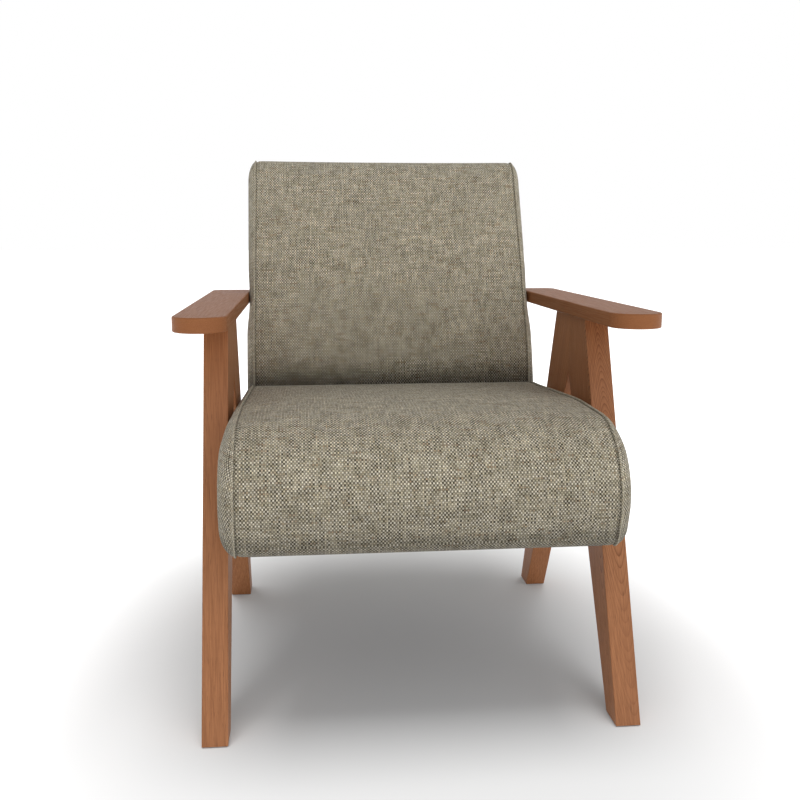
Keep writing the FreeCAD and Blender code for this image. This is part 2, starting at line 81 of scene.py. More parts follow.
# %% Set up the camera
CAMERA_LEFT = 0.1652
CAMERA_BACK_OFF = 1.60039
CAMERA_HEIGHT = 0.73062
CAMERA_PITCH = 0.1739
CAMERA_YAW = 0.0986
CAMERA_LENS = 42.775

bpy.ops.object.camera_add(
    location=(-CAMERA_LEFT, legs_middle - CAMERA_BACK_OFF, CAMERA_HEIGHT),
    rotation=(math.pi / 2 - CAMERA_PITCH, 0, -CAMERA_YAW),
)
camera = bpy.context.object
camera.name = "photo_camera"
camera.data.lens = CAMERA_LENS
camera.data.sensor_width = 36
camera.data.clip_end = 200
bpy.context.scene.camera = camera
print("camera at", [round(value, 4) for value in camera.location])

# %% [markdown]
# ## Helpers for finishes
#
# A finish is a small graph of shader nodes. Writing each link by hand hides the idea, so a few helpers add
# a node and join its sockets in one line. Colours are written as they should look on screen, from 0 to
# 255, and turned into the linear values that the shader works in.


# %% Colour and node helpers
def shade(red, green, blue):
    """A colour as seen on screen, as linear values."""
    def linear(value):
        share = value / 255
        return share / 12.92 if share <= 0.04045 else ((share + 0.055) / 1.055) ** 2.4
    return (linear(red), linear(green), linear(blue), 1)


def feed(tree, sockets, values):
    """Gives each named or numbered socket its value, or a link where the value comes from another node."""
    for key, value in values.items():
        if isinstance(value, bpy.types.NodeSocket):
            tree.links.new(value, sockets[key])
        else:
            sockets[key].default_value = value


def add(tree, kind, inputs=None, **settings):
    made = tree.nodes.new("ShaderNode" + kind)
    for name, value in settings.items():
        setattr(made, name, value)
    feed(tree, made.inputs, inputs or {})
    return made


def object_place(tree):
    return add(tree, "TexCoord").outputs["Object"]


def maths(tree, operation, *values, clamp=False):
    return add(tree, "Math", dict(enumerate(values)), operation=operation, use_clamp=clamp).outputs[0]


def times(tree, first, second, clamp=False):
    return maths(tree, "MULTIPLY", first, second, clamp=clamp)


def vectors(tree, operation, *values):
    """Vector maths, which gives a number for a length or a dot product and a vector for the rest."""
    made = add(tree, "VectorMath", dict(enumerate(values)), operation=operation)
    return made.outputs["Value" if operation in ("LENGTH", "DOT_PRODUCT") else "Vector"]


def scaled(tree, vector, factor):
    return add(tree, "VectorMath", {0: vector, "Scale": factor}, operation="SCALE").outputs[0]


def mix(tree, share, first, second, blend_type="MIX"):
    return add(tree, "Mix", {0: share, 6: first, 7: second}, data_type="RGBA", blend_type=blend_type).outputs[2]


def mix_numbers(tree, share, first, second):
    return add(tree, "Mix", {0: share, 2: first, 3: second}, data_type="FLOAT").outputs[0]


def darken(tree, colour, factor):
    """The colour times a factor that changes over the surface. Above 1 it brightens."""
    return mix(tree, 1.0, colour, factor, "MULTIPLY")


def remap(tree, value, low, high, to_low=0.0, to_high=1.0):
    inputs = {0: value, 1: low, 2: high, 3: to_low, 4: to_high}
    return add(tree, "MapRange", inputs, interpolation_type="SMOOTHSTEP").outputs[0]


def noise_at(tree, vector, scale=1.0, detail=2.0, roughness=0.5):
    inputs = {"Vector": vector, "Scale": scale, "Detail": detail, "Roughness": roughness}
    return add(tree, "TexNoise", inputs).outputs[0]


def wandering(tree, vector, scale):
    """A random offset that changes slowly over the surface, half a unit each way at most."""
    cloud = add(tree, "TexNoise", {"Vector": vector, "Scale": scale, "Detail": 2.0}).outputs[1]
    return vectors(tree, "SUBTRACT", cloud, (0.5, 0.5, 0.5))


def stretched(tree, vector, scale, rotation=(0, 0, 0), location=(0, 0, 0)):
    inputs = {"Vector": vector, "Scale": scale, "Rotation": rotation, "Location": location}
    return add(tree, "Mapping", inputs, vector_type="POINT").outputs[0]


def new_group(name, inputs, outputs):
    """A shader node group whose sockets are given as (name, kind, default)."""
    tree = bpy.data.node_groups.new(name, "ShaderNodeTree")
    for socket_name, kind, default in inputs:
        socket = tree.interface.new_socket(socket_name, in_out="INPUT", socket_type="NodeSocket" + kind)
        socket.default_value = default
    for socket_name, kind in outputs:
        tree.interface.new_socket(socket_name, in_out="OUTPUT", socket_type="NodeSocket" + kind)
    group_in = tree.nodes.new("NodeGroupInput").outputs
    group_out = tree.nodes.new("NodeGroupOutput").inputs
    return tree, group_in, group_out


def use_group(tree, group, inputs):
    return add(tree, "Group", inputs, node_tree=group).outputs


def new_material(name, **constants):
    """A material, its tree and its Principled shader's sockets, with the constants set on those sockets."""
    material = bpy.data.materials.new(name)
    material.use_nodes = True
    tree = material.node_tree
    sockets = tree.nodes["Principled BSDF"].inputs
    feed(tree, sockets, {key.replace("_", " "): value for key, value in constants.items()})
    return material, tree, sockets


def bump(tree, height, distance, strength=1.0):
    return add(tree, "Bump", {"Height": height, "Distance": distance, "Strength": strength}).outputs[0]


def finish_nodes(material, *names):
    for name in names:
        nodes[name].data.materials.clear()
        nodes[name].data.materials.append(material)


print("helpers ready")

# %% [markdown]
# ## The wood figure, used by all the wooden pieces
#
# A board is a slice through a tree, so its pattern is where the growth rings cross the surface. The group
# makes rings round an axis, the heart, that runs with the grain along Z of the vector that it is given. It
# widens them away from Z = 0 in both directions, as a trunk swells at a fork: cut close to the heart they
# show as nested arches that turn over at Z = 0, cut far from it as straight lines. Below they are further
# apart and fade. Good and bad years space the rings unevenly, slow noise bends them, and finer noise adds
# the fibre streaks and the short dark pores. Each material turns and shifts the vector, so no two boards
# match.

# %% Build the wood figure group
SWELL_BELOW_TURN = 0.38
FADING_BELOW = (-0.2, -0.1, 0.35, 1.0)
LATE_WOOD = 4.0
UNEVEN_YEARS = 2.4


def build_wood_figure():
    tree, group_in, group_out = new_group(
        "wood_figure",
        [("Vector", "Vector", (0, 0, 0)), ("Ring Width", "Float", 0.004), ("Taper", "Float", 0.03),
         ("Bend", "Float", 0.004)],
        [("Rings", "Float"), ("Fibres", "Float"), ("Pores", "Float"), ("Tone", "Float")],
    )
    place = group_in["Vector"]
    bent = scaled(tree, wandering(tree, stretched(tree, place, (6, 6, 1.1)), 1.0), group_in["Bend"])
    moved = vectors(tree, "ADD", place, bent)
    across = vectors(tree, "LENGTH", vectors(tree, "MULTIPLY", moved, (1, 1, 0)))
    length = add(tree, "SeparateXYZ", {0: moved}).outputs[2]
    fading = remap(tree, length, *FADING_BELOW)
    length = maths(tree, "MAXIMUM", length, times(tree, length, -SWELL_BELOW_TURN))
    radius = maths(tree, "ADD", across, times(tree, length, group_in["Taper"]))
    years = maths(tree, "DIVIDE", radius, group_in["Ring Width"])
    weather = noise_at(tree, add(tree, "CombineXYZ", {2: years}).outputs[0], 0.45, 1.0)
    ring = maths(tree, "FRACT", maths(tree, "MULTIPLY_ADD", weather, UNEVEN_YEARS, years))
    late = maths(tree, "POWER", ring, LATE_WOOD)
    early = remap(tree, ring, 0.9, 1.0, 1.0, 0.0)
    results = {"Rings": times(tree, times(tree, late, early), fading)}
    streaks = (("Fibres", (700, 700, 14), 3.0, 0.65, 0.34, 0.66), ("Pores", (1500, 1500, 55), 1.0, 0.5, 0.63, 0.74),
               ("Tone", (22, 22, 2.2), 3.0, 0.5, 0.3, 0.7))
    for name, scale, detail, roughness, low, high in streaks:
        marks = noise_at(tree, stretched(tree, place, scale), 1.0, detail, roughness)
        results[name] = remap(tree, marks, low, high)
    feed(tree, group_out, results)
    return tree


wood_figure = build_wood_figure()
print("group", wood_figure.name, "with", len(wood_figure.nodes), "nodes")

# %% [markdown]
# ## Show wood: the legs and the armrests
#
# The frame is a reddish brown hardwood with a satin finish, whose soft shine the shader carries by itself.
# Each leg is cut with the grain along its own lean, so its material turns the figure by that angle, while
# an armrest's grain runs from front to back. One front leg is cut close to the heart: the axis lies a
# centimetre behind its front face and a little askew, so its rings cross the face as nested arches, whose
# tips point up the leg and down it. The armrests are a little deeper in tone and duller.

# %% Make the show wood
SHOW_TONES = (shade(173, 114, 73), shade(185, 124, 79), shade(128, 77, 44), shade(86, 49, 28))
ALONG_Y = (math.pi / 2, 0, 0)
STRAIGHT_RINGS = (0.0034, 0.03, 0.4)
ARCHED_RINGS = (0.0025, 0.26, 1.5)
SAWN_RINGS = (0.004, 0.03, 0.65)


def board_wood(name, tones, rotation, location, rings, depth=0.0, gloss=0.34):
    """Wood in four tones, with rings given as their width, how they widen and how dark they are."""
    middle, warm, deep, dark = tones
    ring_width, taper, ring_share = rings
    material, tree, shader = new_material(name, Specular_IOR_Level=gloss)
    along = stretched(tree, object_place(tree), (1, 1, 1), rotation, location)
    inputs = {"Vector": along, "Ring Width": ring_width, "Taper": taper, "Bend": ring_width}
    figure = use_group(tree, wood_figure, inputs)
    colour = middle
    marks = (("Tone", 0.7, warm), ("Fibres", 0.42, deep), ("Rings", ring_share, deep), ("Pores", 0.45, dark))
    for mark, share, tone in marks:
        colour = mix(tree, times(tree, figure[mark], share), colour, tone)
    height = maths(tree, "SUBTRACT", times(tree, figure["Fibres"], 0.3), figure["Pores"])
    feed(tree, shader, {"Base Color": mix(tree, depth, colour, deep), "Normal": bump(tree, height, 0.00012),
                        "Roughness": remap(tree, figure["Fibres"], 0, 1, 0.44, 0.56)})
    return material


print("show wood in", len(SHOW_TONES), "tones")

# %% Lay the grain along each leg and armrest
HEART_DEPTH = 0.0095
HEART_ACROSS = 0.311
HEART_TILT = (-0.025, 0.018)
TURN_OVER = 0.24
leg_lean = math.atan2(foot_reach - leg_top_reach, arm_low.z)
front_face = (legs_middle - foot_reach) * math.cos(leg_lean)
heart_place = (-HEART_ACROSS - TURN_OVER * HEART_TILT[1], TURN_OVER * HEART_TILT[0] - front_face - HEART_DEPTH,
               -TURN_OVER)
leg_woods = {
    "front_leg_left": ((leg_lean, 0, 0), (0.4, 0.05, 0.2), STRAIGHT_RINGS),
    "front_leg_right": ((leg_lean + HEART_TILT[0], HEART_TILT[1], 0), heart_place, ARCHED_RINGS),
    "back_leg_left": ((-leg_lean, 0, 0), (0.37, -0.06, 0.9), STRAIGHT_RINGS),
    "back_leg_right": ((-leg_lean, 0, 0), (-0.39, -0.1, 1.3), STRAIGHT_RINGS),
}
for name, (rotation, location, rings) in leg_woods.items():
    finish_nodes(board_wood("lacquered_" + name, SHOW_TONES, rotation, location, rings), name)
for name, shift in (("armrest_left", 0.3), ("armrest_right", -0.33)):
    place = (shift, arm_high.z - 0.3, 0.1)
    finish_nodes(board_wood("lacquered_" + name, SHOW_TONES, ALONG_Y, place, STRAIGHT_RINGS, 0.5, 0.17), name)
print("legs lean", round(math.degrees(leg_lean), 2), "degrees")

# %% [markdown]
# ## The tweed, woven from two yarns
#
# The cover is a chunky plain weave: a thick cream weft over a dark olive warp, so light and dark dots
# alternate like a chess board about two and a half millimetres apart, with its rows a little further apart
# than its columns. The group works in metres of cloth and lets the yarns wander a little. It finds which
# yarn lies on top in each cell, rounds it over, and gives every yarn its own slow changes of tone. Slubs
# show as short streaks along and across, a few weft yarns turn rusty for a stretch, and every second column
# is a little darker.

# %% Build the tweed group
ROW_SHARE = 1.18
YARN_WANDER = 0.6
WANDER_SCALE = 95.0
TONE_RUN = 0.11


def build_tweed():
    tree, group_in, group_out = new_group(
        "tweed",
        [("Vector", "Vector", (0, 0, 0)), ("Pitch", "Float", 0.0024)],
        [("Weft", "Float"), ("Height", "Float"), ("Warp Tone", "Float"), ("Weft Tone", "Float"),
         ("Fleck", "Color"), ("Rust", "Float"), ("Slubs", "Float"), ("Stripe", "Float")],
    )
    place = group_in["Vector"]
    drift = vectors(tree, "MULTIPLY", wandering(tree, place, WANDER_SCALE), (YARN_WANDER, YARN_WANDER, 0))
    spaced = vectors(tree, "MULTIPLY", place, (1, 1 / ROW_SHARE, 1))
    counted = scaled(tree, spaced, maths(tree, "DIVIDE", 1.0, group_in["Pitch"]))
    cloth = vectors(tree, "ADD", counted, drift)
    parts = add(tree, "SeparateXYZ", {0: cloth}).outputs
    column, row = [maths(tree, "FLOOR", parts[axis]) for axis in (0, 1)]
    weft_up = maths(tree, "FLOORED_MODULO", maths(tree, "ADD", column, row), 2.0)
    rounds = []
    for axis in (0, 1):
        from_middle = maths(tree, "SUBTRACT", maths(tree, "FRACT", parts[axis]), 0.5)
        rounds.append(maths(tree, "COSINE", times(tree, from_middle, math.pi)))
    bodies = [times(tree, maths(tree, "POWER", over, 0.5), maths(tree, "ADD", 0.35, along))
              for over, along in (rounds, rounds[::-1])]
    height = maths(tree, "DIVIDE", mix_numbers(tree, weft_up, *bodies), 1.35)
    results = {"Weft": weft_up, "Height": height}
    for axis, count, name in ((0, column, "Warp Tone"), (1, row, "Weft Tone")):
        line = add(tree, "CombineXYZ", {axis: times(tree, count, 7.31)}).outputs[0]
        run = vectors(tree, "MULTIPLY", cloth, (axis * TONE_RUN, (1 - axis) * TONE_RUN, 0))
        track = vectors(tree, "ADD", line, run)
        tone = noise_at(tree, track, 1.0, 2.0, 0.6)
        results[name] = remap(tree, tone, 0.34, 0.66)
    rare = noise_at(tree, vectors(tree, "ADD", track, (3.7, 9.1, 5)), 1.0, 1.0)
    thick_weft = noise_at(tree, stretched(tree, cloth, (0.06, 0.7, 0)), 1.0, 1.0)
    thick_warp = noise_at(tree, stretched(tree, cloth, (0.7, 0.08, 0), location=(31, 17, 0)), 1.0, 1.0)
    slubs = maths(tree, "ADD", remap(tree, thick_weft, 0.3, 0.7), remap(tree, thick_warp, 0.3, 0.7))
    stripe = maths(tree, "SUBTRACT", maths(tree, "FLOORED_MODULO", column, 2.0), 0.5)
    cell = add(tree, "CombineXYZ", {0: column, 1: row}).outputs[0]
    fleck = add(tree, "TexWhiteNoise", {"Vector": cell}, noise_dimensions="2D").outputs[1]
    results.update({"Rust": remap(tree, rare, 0.6, 0.7), "Slubs": times(tree, slubs, 0.5), "Stripe": stripe,
                    "Fleck": fleck})
    feed(tree, group_out, results)
    return tree


tweed = build_tweed()
print("group", tweed.name, "with", len(tweed.nodes), "nodes")

# %% [markdown]
# ## The cover fabric
#
# The material places the tweed on the pads' own map, which is laid out in metres like the cut cloth, so
# the weave follows every curve and turns with each panel. Two attributes of the pads paint light and shade
# into its colour. One is painted shade: it darkens the cloth towards the crease, down the nose and under
# the chin of the seat and on the sides, where little light comes in. The other paints shade into the bottom
# of the seam's groove, less where a weft yarn bridges it, and a highlight onto the ridge beside it. The
# colour is also darker where a yarn lies low, which is painted shade in the gaps of the weave. Sheen stands
# for the fuzz that wool has against light.

# %% Make the cover fabric
RECLINE = math.radians(23.3)
CREAM_YARN = shade(254, 243, 216)
SAND_YARN = shade(206, 195, 168)
OLIVE_YARN = shade(170, 160, 136)
DARK_YARN = shade(80, 71, 54)
RUST_YARN = shade(168, 128, 96)
# Colour of the painted shade in the seam's groove.
SEAM_PAINTED_SHADE = shade(58, 52, 42)
YARN_PITCH = 0.00246
RUST_SHARE = 0.55
FLECK_SHARE = 0.24
PATCH_TONES = (0.965, 1.045)
SLUB_TONES = (0.89, 1.2)
STRIPE_SHADE = 0.14
TUCK_SHADE = 0.78


def cover_fabric(name, mapped=True):
    material, tree, shader = new_material(name, Roughness=0.9, Specular_IOR_Level=0.2, Sheen_Weight=0.12)
    if mapped:
        cloth = add(tree, "UVMap", uv_map="cloth").outputs[0]
    else:
        cloth = stretched(tree, object_place(tree), (1, 1, 1), (math.pi / 2 - RECLINE, 0, 0))
    weave = use_group(tree, tweed, {"Vector": cloth, "Pitch": YARN_PITCH})
    weft = mix(tree, weave["Weft Tone"], SAND_YARN, CREAM_YARN)
    weft = mix(tree, times(tree, weave["Rust"], RUST_SHARE), weft, RUST_YARN)
    warp = mix(tree, weave["Warp Tone"], DARK_YARN, OLIVE_YARN)
    colour = mix(tree, weave["Weft"], warp, weft)
    fleck = add(tree, "HueSaturation", {"Color": weave["Fleck"], "Saturation": 0.06, "Value": 1.0}).outputs[0]
    colour = mix(tree, FLECK_SHARE, colour, fleck, "OVERLAY")
    # Painted shade: the cloth is darker where a yarn lies low, in the gaps between yarns.
    colour = darken(tree, colour, maths(tree, "MULTIPLY_ADD", weave["Height"], 0.6, 0.4))
    patches = noise_at(tree, stretched(tree, cloth, (9, 9, 9)), 1.0, 3.0)
    colour = darken(tree, colour, remap(tree, patches, 0.3, 0.7, *PATCH_TONES))
    colour = darken(tree, colour, remap(tree, weave["Slubs"], 0.1, 0.9, *SLUB_TONES))
    colour = darken(tree, colour, maths(tree, "MULTIPLY_ADD", weave["Stripe"], STRIPE_SHADE, 1.0))
    # Painted shade: the pads' attribute darkens the cloth towards the crease, down the nose, under the chin and on
    # the sides.
    tuck_and_painted_shade = add(tree, "Attribute", attribute_name="tuck_and_painted_shade").outputs["Fac"]
    colour = darken(tree, colour, maths(tree, "MULTIPLY_ADD", tuck_and_painted_shade, -TUCK_SHADE, 1.0))
    # Painted shade at the bottom of the seam's groove, less where a weft yarn bridges it, and a painted highlight
    # on the ridge beside it.
    seam = add(tree, "Attribute", attribute_name="seam").outputs["Fac"]
    bridged = maths(tree, "MULTIPLY_ADD", weave["Weft"], -0.4, 0.85)
    colour = mix(tree, times(tree, seam, bridged, clamp=True), colour, SEAM_PAINTED_SHADE)
    colour = mix(tree, times(tree, seam, -0.2, clamp=True), colour, CREAM_YARN)
    feed(tree, shader, {"Base Color": colour, "Normal": bump(tree, weave["Height"], 0.0007, 0.9)})
    return material


tweed_cover = cover_fabric("tweed_cover")
print("made", tweed_cover.name)

# %% [markdown]
# ## The outline of a pad
#
# Each pad is one profile carried across the chair: a few corners joined by straight or bowed runs, each
# corner rounded by an arc. A profile can be drawn smaller, which is how the domed sides and the seam
# groove are made, so its points are found by share of each arc and run: the same share on a smaller
# outline is the matching point, and the rings of the mesh join up one to one.

# %% Outline helpers
LEAST_ROUND = 0.002


def unit(y, z):
    length = math.hypot(y, z)
    return y / length, z / length


def with_directions(corners):
    """Each corner (y, z, rounding, bow) with the directions of the edges that come to it and leave it."""
    for index, corner in enumerate(corners):
        y, z = corner[:2]
        y0, z0 = corners[index - 1][:2]
        y2, z2 = corners[(index + 1) % len(corners)][:2]
        yield *corner, unit(y - y0, z - z0), unit(y2 - y, z2 - z)


def inset_outline(corners, inset):
    """The corners of an outline moved inwards by the inset, counter-clockwise."""
    moved = []
    for y, z, rounding, bow, before, after in with_directions(corners):
        inward = (-before[1] - after[1], before[0] + after[0])
        scale = inset * 2 / (inward[0] ** 2 + inward[1] ** 2)
        shrunk = max(rounding - inset, LEAST_ROUND) if rounding else rounding
        moved.append((y + inward[0] * scale, z + inward[1] * scale, shrunk, bow))
    return moved


def outline_pieces(corners):
    """For each corner: where its arc starts, its centre, radius, turn and start angle, and where it ends."""
    made = []
    for y, z, rounding, bow, before, after in with_directions(corners):
        turn = math.atan2(before[0] * after[1] - before[1] * after[0], before[0] * after[0] + before[1] * after[1])
        reach = rounding * math.tan(turn / 2)
        entry = (y - before[0] * reach, z - before[1] * reach)
        leave = (y + after[0] * reach, z + after[1] * reach)
        centre = (entry[0] - before[1] * rounding, entry[1] + before[0] * rounding)
        start_angle = math.atan2(entry[1] - centre[1], entry[0] - centre[0])
        made.append((entry, centre, rounding, turn, start_angle, leave, bow))
    return made


def outline_point(pieces, place):
    """The point at place (kind, corner, share) on the outline: on that corner's arc or the run after it."""
    kind, index, share = place
    entry, centre, rounding, turn, start_angle, leave, bow = pieces[index]
    if kind == "arc":
        angle = start_angle + turn * share
        return centre[0] + rounding * math.cos(angle), centre[1] + rounding * math.sin(angle)
    end = pieces[(index + 1) % len(pieces)][0]
    run_y, run_z = end[0] - leave[0], end[1] - leave[1]
    length = math.hypot(run_y, run_z)
    out = bow * 4 * share * (1 - share) / length
    return leave[0] + run_y * share + run_z * out, leave[1] + run_z * share - run_y * out


def outline_places(corners, spacing):
    """Places along the whole outline, no further apart than the spacing."""
    pieces = outline_pieces(corners)
    places = []
    for index, piece in enumerate(pieces):
        rounding, turn, leave = piece[2], piece[3], piece[5]
        if rounding:
            count = max(3, math.ceil(rounding * turn / spacing))
            places += [("arc", index, step / count) for step in range(count)]
        end = pieces[(index + 1) % len(pieces)][0]
        count = max(1, math.ceil(math.hypot(end[0] - leave[0], end[1] - leave[1]) / spacing))
        places += [("run", index, step / count) for step in range(count)]
    return places


print("outline helpers ready")

# %% [markdown]
# ## Across a pad: band, seam and domed side
#
# A cut from the middle of a pad to its side shows three things. The band is the long strip that wraps
# round the front. It rolls down into the seam's groove. Just outside the groove the turned edges of both
# panels lift the cloth into a thin ridge, and then the side panel domes over until it is flat against
# the frame. The list of stations below walks along that cut, and each station says how far out it is and
# how much smaller the outline has become. Shade is painted into the groove from halfway down it, and a
# highlight is painted onto the ridge.

# %% Stations across a pad
BAND_STEP = 0.006
SEAM_ROLL = ((0.009, 0.0), (0.006, 0.0002), (0.004, 0.0005), (0.0024, 0.0011), (0.0012, 0.0018))
GROOVE_DEPTH = 0.0025
RIDGE = ((0.0006, -0.0014), (0.001, 0.0002), (0.0016, 0.0013), (0.0023, 0.0018), (0.003, 0.0015),
         (0.0037, 0.0007), (0.0045, 0.0002), (0.0056, 0.0))
RIDGE_HEIGHT = 0.0018
DOME_STEPS = 14


def half_stations(seam_half, bulge, side_depth):
    """Stations from the middle to the side: (x, inset, seam, which panel, turn of the dome).

    Seam is painted light: 1 is painted shade at the bottom of the groove, -1 a painted highlight on top of the
    ridge.
    """
    band_half = seam_half - SEAM_ROLL[0][0]
    steps = math.ceil(band_half / BAND_STEP)
    stations = [(band_half * step / steps, 0.0, 0.0, "band", 0.0) for step in range(steps)]
    for before, inset in SEAM_ROLL:
        stations.append((seam_half - before, inset, max(0.0, inset / GROOVE_DEPTH - 0.5), "band", 0.0))
    stations.append((seam_half, GROOVE_DEPTH, 1.0, "seam", 0.0))
    for past, proud in RIDGE:
        turn = math.asin(past / bulge)
        dark = -proud / (GROOVE_DEPTH if proud < 0 else RIDGE_HEIGHT)
        stations.append((seam_half + past, side_depth * (1 - math.cos(turn)) - proud, dark, "side", turn))
    first_turn = math.asin(RIDGE[-1][0] / bulge)
    for step in range(1, DOME_STEPS + 1):
        turn = first_turn + (math.pi / 2 - first_turn) * step / DOME_STEPS
        x = seam_half + bulge * math.sin(turn)
        stations.append((x, side_depth * (1 - math.cos(turn)), 0.0, "side", turn))
    return stations


def flat_insets(stations, side_depth):
    """How far inside the outline each station of the side panel lies once the panel is laid out flat."""
    walked = 0.0
    from_flat = {len(stations) - 1: side_depth}
    for index in range(len(stations) - 1, 0, -1):
        x1, inset1 = stations[index][:2]
        x0, inset0 = stations[index - 1][:2]
        walked += math.hypot(x1 - x0, inset1 - inset0)
        from_flat[index - 1] = side_depth - walked
    return from_flat


print("seam groove", GROOVE_DEPTH, "deep beside a ridge", RIDGE_HEIGHT, "high")

# %% [markdown]
# ## Sewing a pad together
#
# The rings of points are joined into one closed skin. The last ring on each side is a long oval, so it is
# closed like a zip: points that face each other across it are joined by rows of squares. The skin gets a
# map named cloth, in metres: the band runs straight round the pad, and each side panel is laid out flat.
# The crown, how far the middle stands proud of the edges, falls slowly at first and fast near the seams.

# %% Build a pad
CAP_ROWS = 6
CROWN_POWER = 2.4
PLACE_SPACING = 0.0055
SIDE_SHADE = 0.14


def in_scene(name, data):
    piece = bpy.data.objects.new(name, data)
    bpy.context.scene.collection.objects.link(piece)
    return piece


def pad_plan(corners_at, crown, low, high, side_depth, swell, tuck_and_painted_shade, turn_cloth, cap_place):
    """All that sew_pad needs: outlines at edge and middle, the side panel's box, and the pad's own rules."""
    edge = corners_at(0)
    places = outline_places(edge, PLACE_SPACING)
    return {"edge": edge, "middle": corners_at(crown), "places": places, "seam_half": low.x,
            "bulge": high.x - low.x, "side_depth": side_depth, "swell": swell, "tuck_and_painted_shade": tuck_and_painted_shade,
            "turn_cloth": turn_cloth, "cap_start": places.index(cap_place)}


def ring_of(pad, share_out, inset):
    crown = 1 - abs(share_out) ** CROWN_POWER
    corners = [
        tuple(edge + (middle - edge) * crown for edge, middle in zip(edge_corner, middle_corner))
        for edge_corner, middle_corner in zip(pad["edge"], pad["middle"])
    ]
    pieces = outline_pieces(inset_outline(corners, inset))
    return [outline_point(pieces, place) for place in pad["places"]]


def sew_pad(name, pad):
    half = half_stations(pad["seam_half"], pad["bulge"], pad["side_depth"])
    flats = flat_insets(half, pad["side_depth"])
    mesh = bmesh.new()
    cloth = mesh.loops.layers.uv.new("cloth")
    seam = mesh.verts.layers.float.new("seam")
    tuck_and_painted_shade = mesh.verts.layers.float.new("tuck_and_painted_shade")
    walked = [0.0]
    round_points = ring_of(pad, 1, 0)
    for first, second in zip(round_points, round_points[1:] + round_points[:1]):
        walked.append(walked[-1] + math.dist(first, second))
    rings = []
    for side in (-1, 1):
        for index, (x, inset, dark, panel, turn) in enumerate(half):
            if side < 0 and index == 0:
                continue
            points = ring_of(pad, min(1, x / pad["seam_half"]), inset)
            flat = ring_of(pad, 1, flats[index]) if panel != "band" else points
            row = []
            for y, z in points:
                reach = pad["swell"](side * x, y, z, turn)
                moved, painted_shade = pad["tuck_and_painted_shade"](y, z)
                made = mesh.verts.new((side * reach, *moved))
                # Painted light: shade at the bottom of the seam's groove and a highlight on its ridge.
                made[seam] = dark
                # Painted shade: the shade that the pad's rule paints here, or painted shade on the domed sides.
                made[tuck_and_painted_shade] = max(painted_shade, SIDE_SHADE * math.sin(turn))
                row.append(made)
            rings.append((side * x, panel, row, flat))
    rings.sort(key=lambda ring: ring[0])
    count = len(round_points)

    def band_map(ring, index):
        return ring[0], walked[index]

    def side_map(ring, index):
        y, z = ring[3][index % count]
        return pad["turn_cloth"](y, z)

    for left, right in zip(rings, rings[1:]):
        on_side = "side" in (left[1], right[1])
        place = side_map if on_side else band_map
        for index in range(count):
            ahead = index + 1
            corners = ((left, index), (left, ahead), (right, ahead), (right, index))
            face = mesh.faces.new([ring[2][step % count] for ring, step in corners])
            for loop, corner in zip(face.loops, corners):
                loop[cloth].uv = place(*corner)
    for ring in (rings[0], rings[-1]):
        zip_cap(mesh, cloth, ring, pad)
    bmesh.ops.recalc_face_normals(mesh, faces=mesh.faces)
    for face in mesh.faces:
        face.smooth = True
    data = bpy.data.meshes.new(name)
    mesh.to_mesh(data)
    mesh.free()
    data.materials.append(tweed_cover)
    return in_scene(name, data)


def zip_cap(mesh, cloth, ring, pad):
    """Closes the oval ring with rows of squares between the points that face each other."""
    row = ring[2]
    count = len(row)
    start = pad["cap_start"]
    lines = []
    for step in range(count // 2 + 1):
        first, second = row[(start + step) % count], row[(start - step) % count]
        neighbours = 2 * step + 1 == count
        spots = [] if neighbours else [first.co.lerp(second.co, part / CAP_ROWS) for part in range(1, CAP_ROWS)]
        lines.append([first] if first == second else [first, *map(mesh.verts.new, spots), second])
    for line, ahead in zip(lines, lines[1:]):
        if len(ahead) == 2:
            faces = [line + ahead[::-1]]
        else:
            one, two = [ends * CAP_ROWS + ends[-1:] if len(ends) == 1 else ends for ends in (line, ahead)]
            faces = [(one[k], two[k], two[k + 1], one[k + 1]) for k in range(CAP_ROWS)]
        for corners in faces:
            face = mesh.faces.new(list(dict.fromkeys(corners)))
            for loop in face.loops:
                loop[cloth].uv = pad["turn_cloth"](loop.vert.co.y, loop.vert.co.z)


print("pad builder ready")

# %% [markdown]
# ## The seat pad
#
# The seat is a thick wedge with a large round nose, a small turned-in lip below it and a flat bottom that
# the frame rests in. Its sides dome out to the legs and are pressed flat where they meet them. In front of
# the legs, where nothing holds them, they swell a little further, but the shoulders of the nose are drawn
# in. Its rear edge runs on under the back pad.

# %% Shape the seat pad
CREASE_REACH = 0.1774
CREASE_HEIGHT = 0.4465
SOFT_GAP = 0.0004
SEAT_NOSE_REACH = 0.367
SEAT_NOSE_HEIGHT = 0.4675
SEAT_LIP_HEIGHT = 0.3465
SEAT_CREST_HEIGHT = 0.4685
SEAT_CREST_SETBACK = 0.234
SEAT_CROWN = 0.004
SEAT_SIDE_DEPTH = 0.045
FREE_SWELL = 0.004
FREE_RUN = 0.07
SHOULDER_PULL = 0.004
SHOULDER_HEIGHT = 0.425
SHOULDER_REACH = 0.1
TUCK_DEPTH = 0.02
TUCK_BELOW = 0.045
TUCK_RUN = 0.06
TOP_SHADE = 0.4
NOSE_SHADE = 0.45
CHIN_SHADE = 0.3


def back_point(depth, along):
    """Depth is into the back pad from its front face, along is up its slope from the crease."""
    y = legs_middle + CREASE_REACH + depth * math.cos(RECLINE) + along * math.sin(RECLINE)
    z = CREASE_HEIGHT - depth * math.sin(RECLINE) + along * math.cos(RECLINE)
    return y, z


def along_at_height(depth, height):
    return (height - CREASE_HEIGHT + depth * math.sin(RECLINE)) / math.cos(RECLINE)


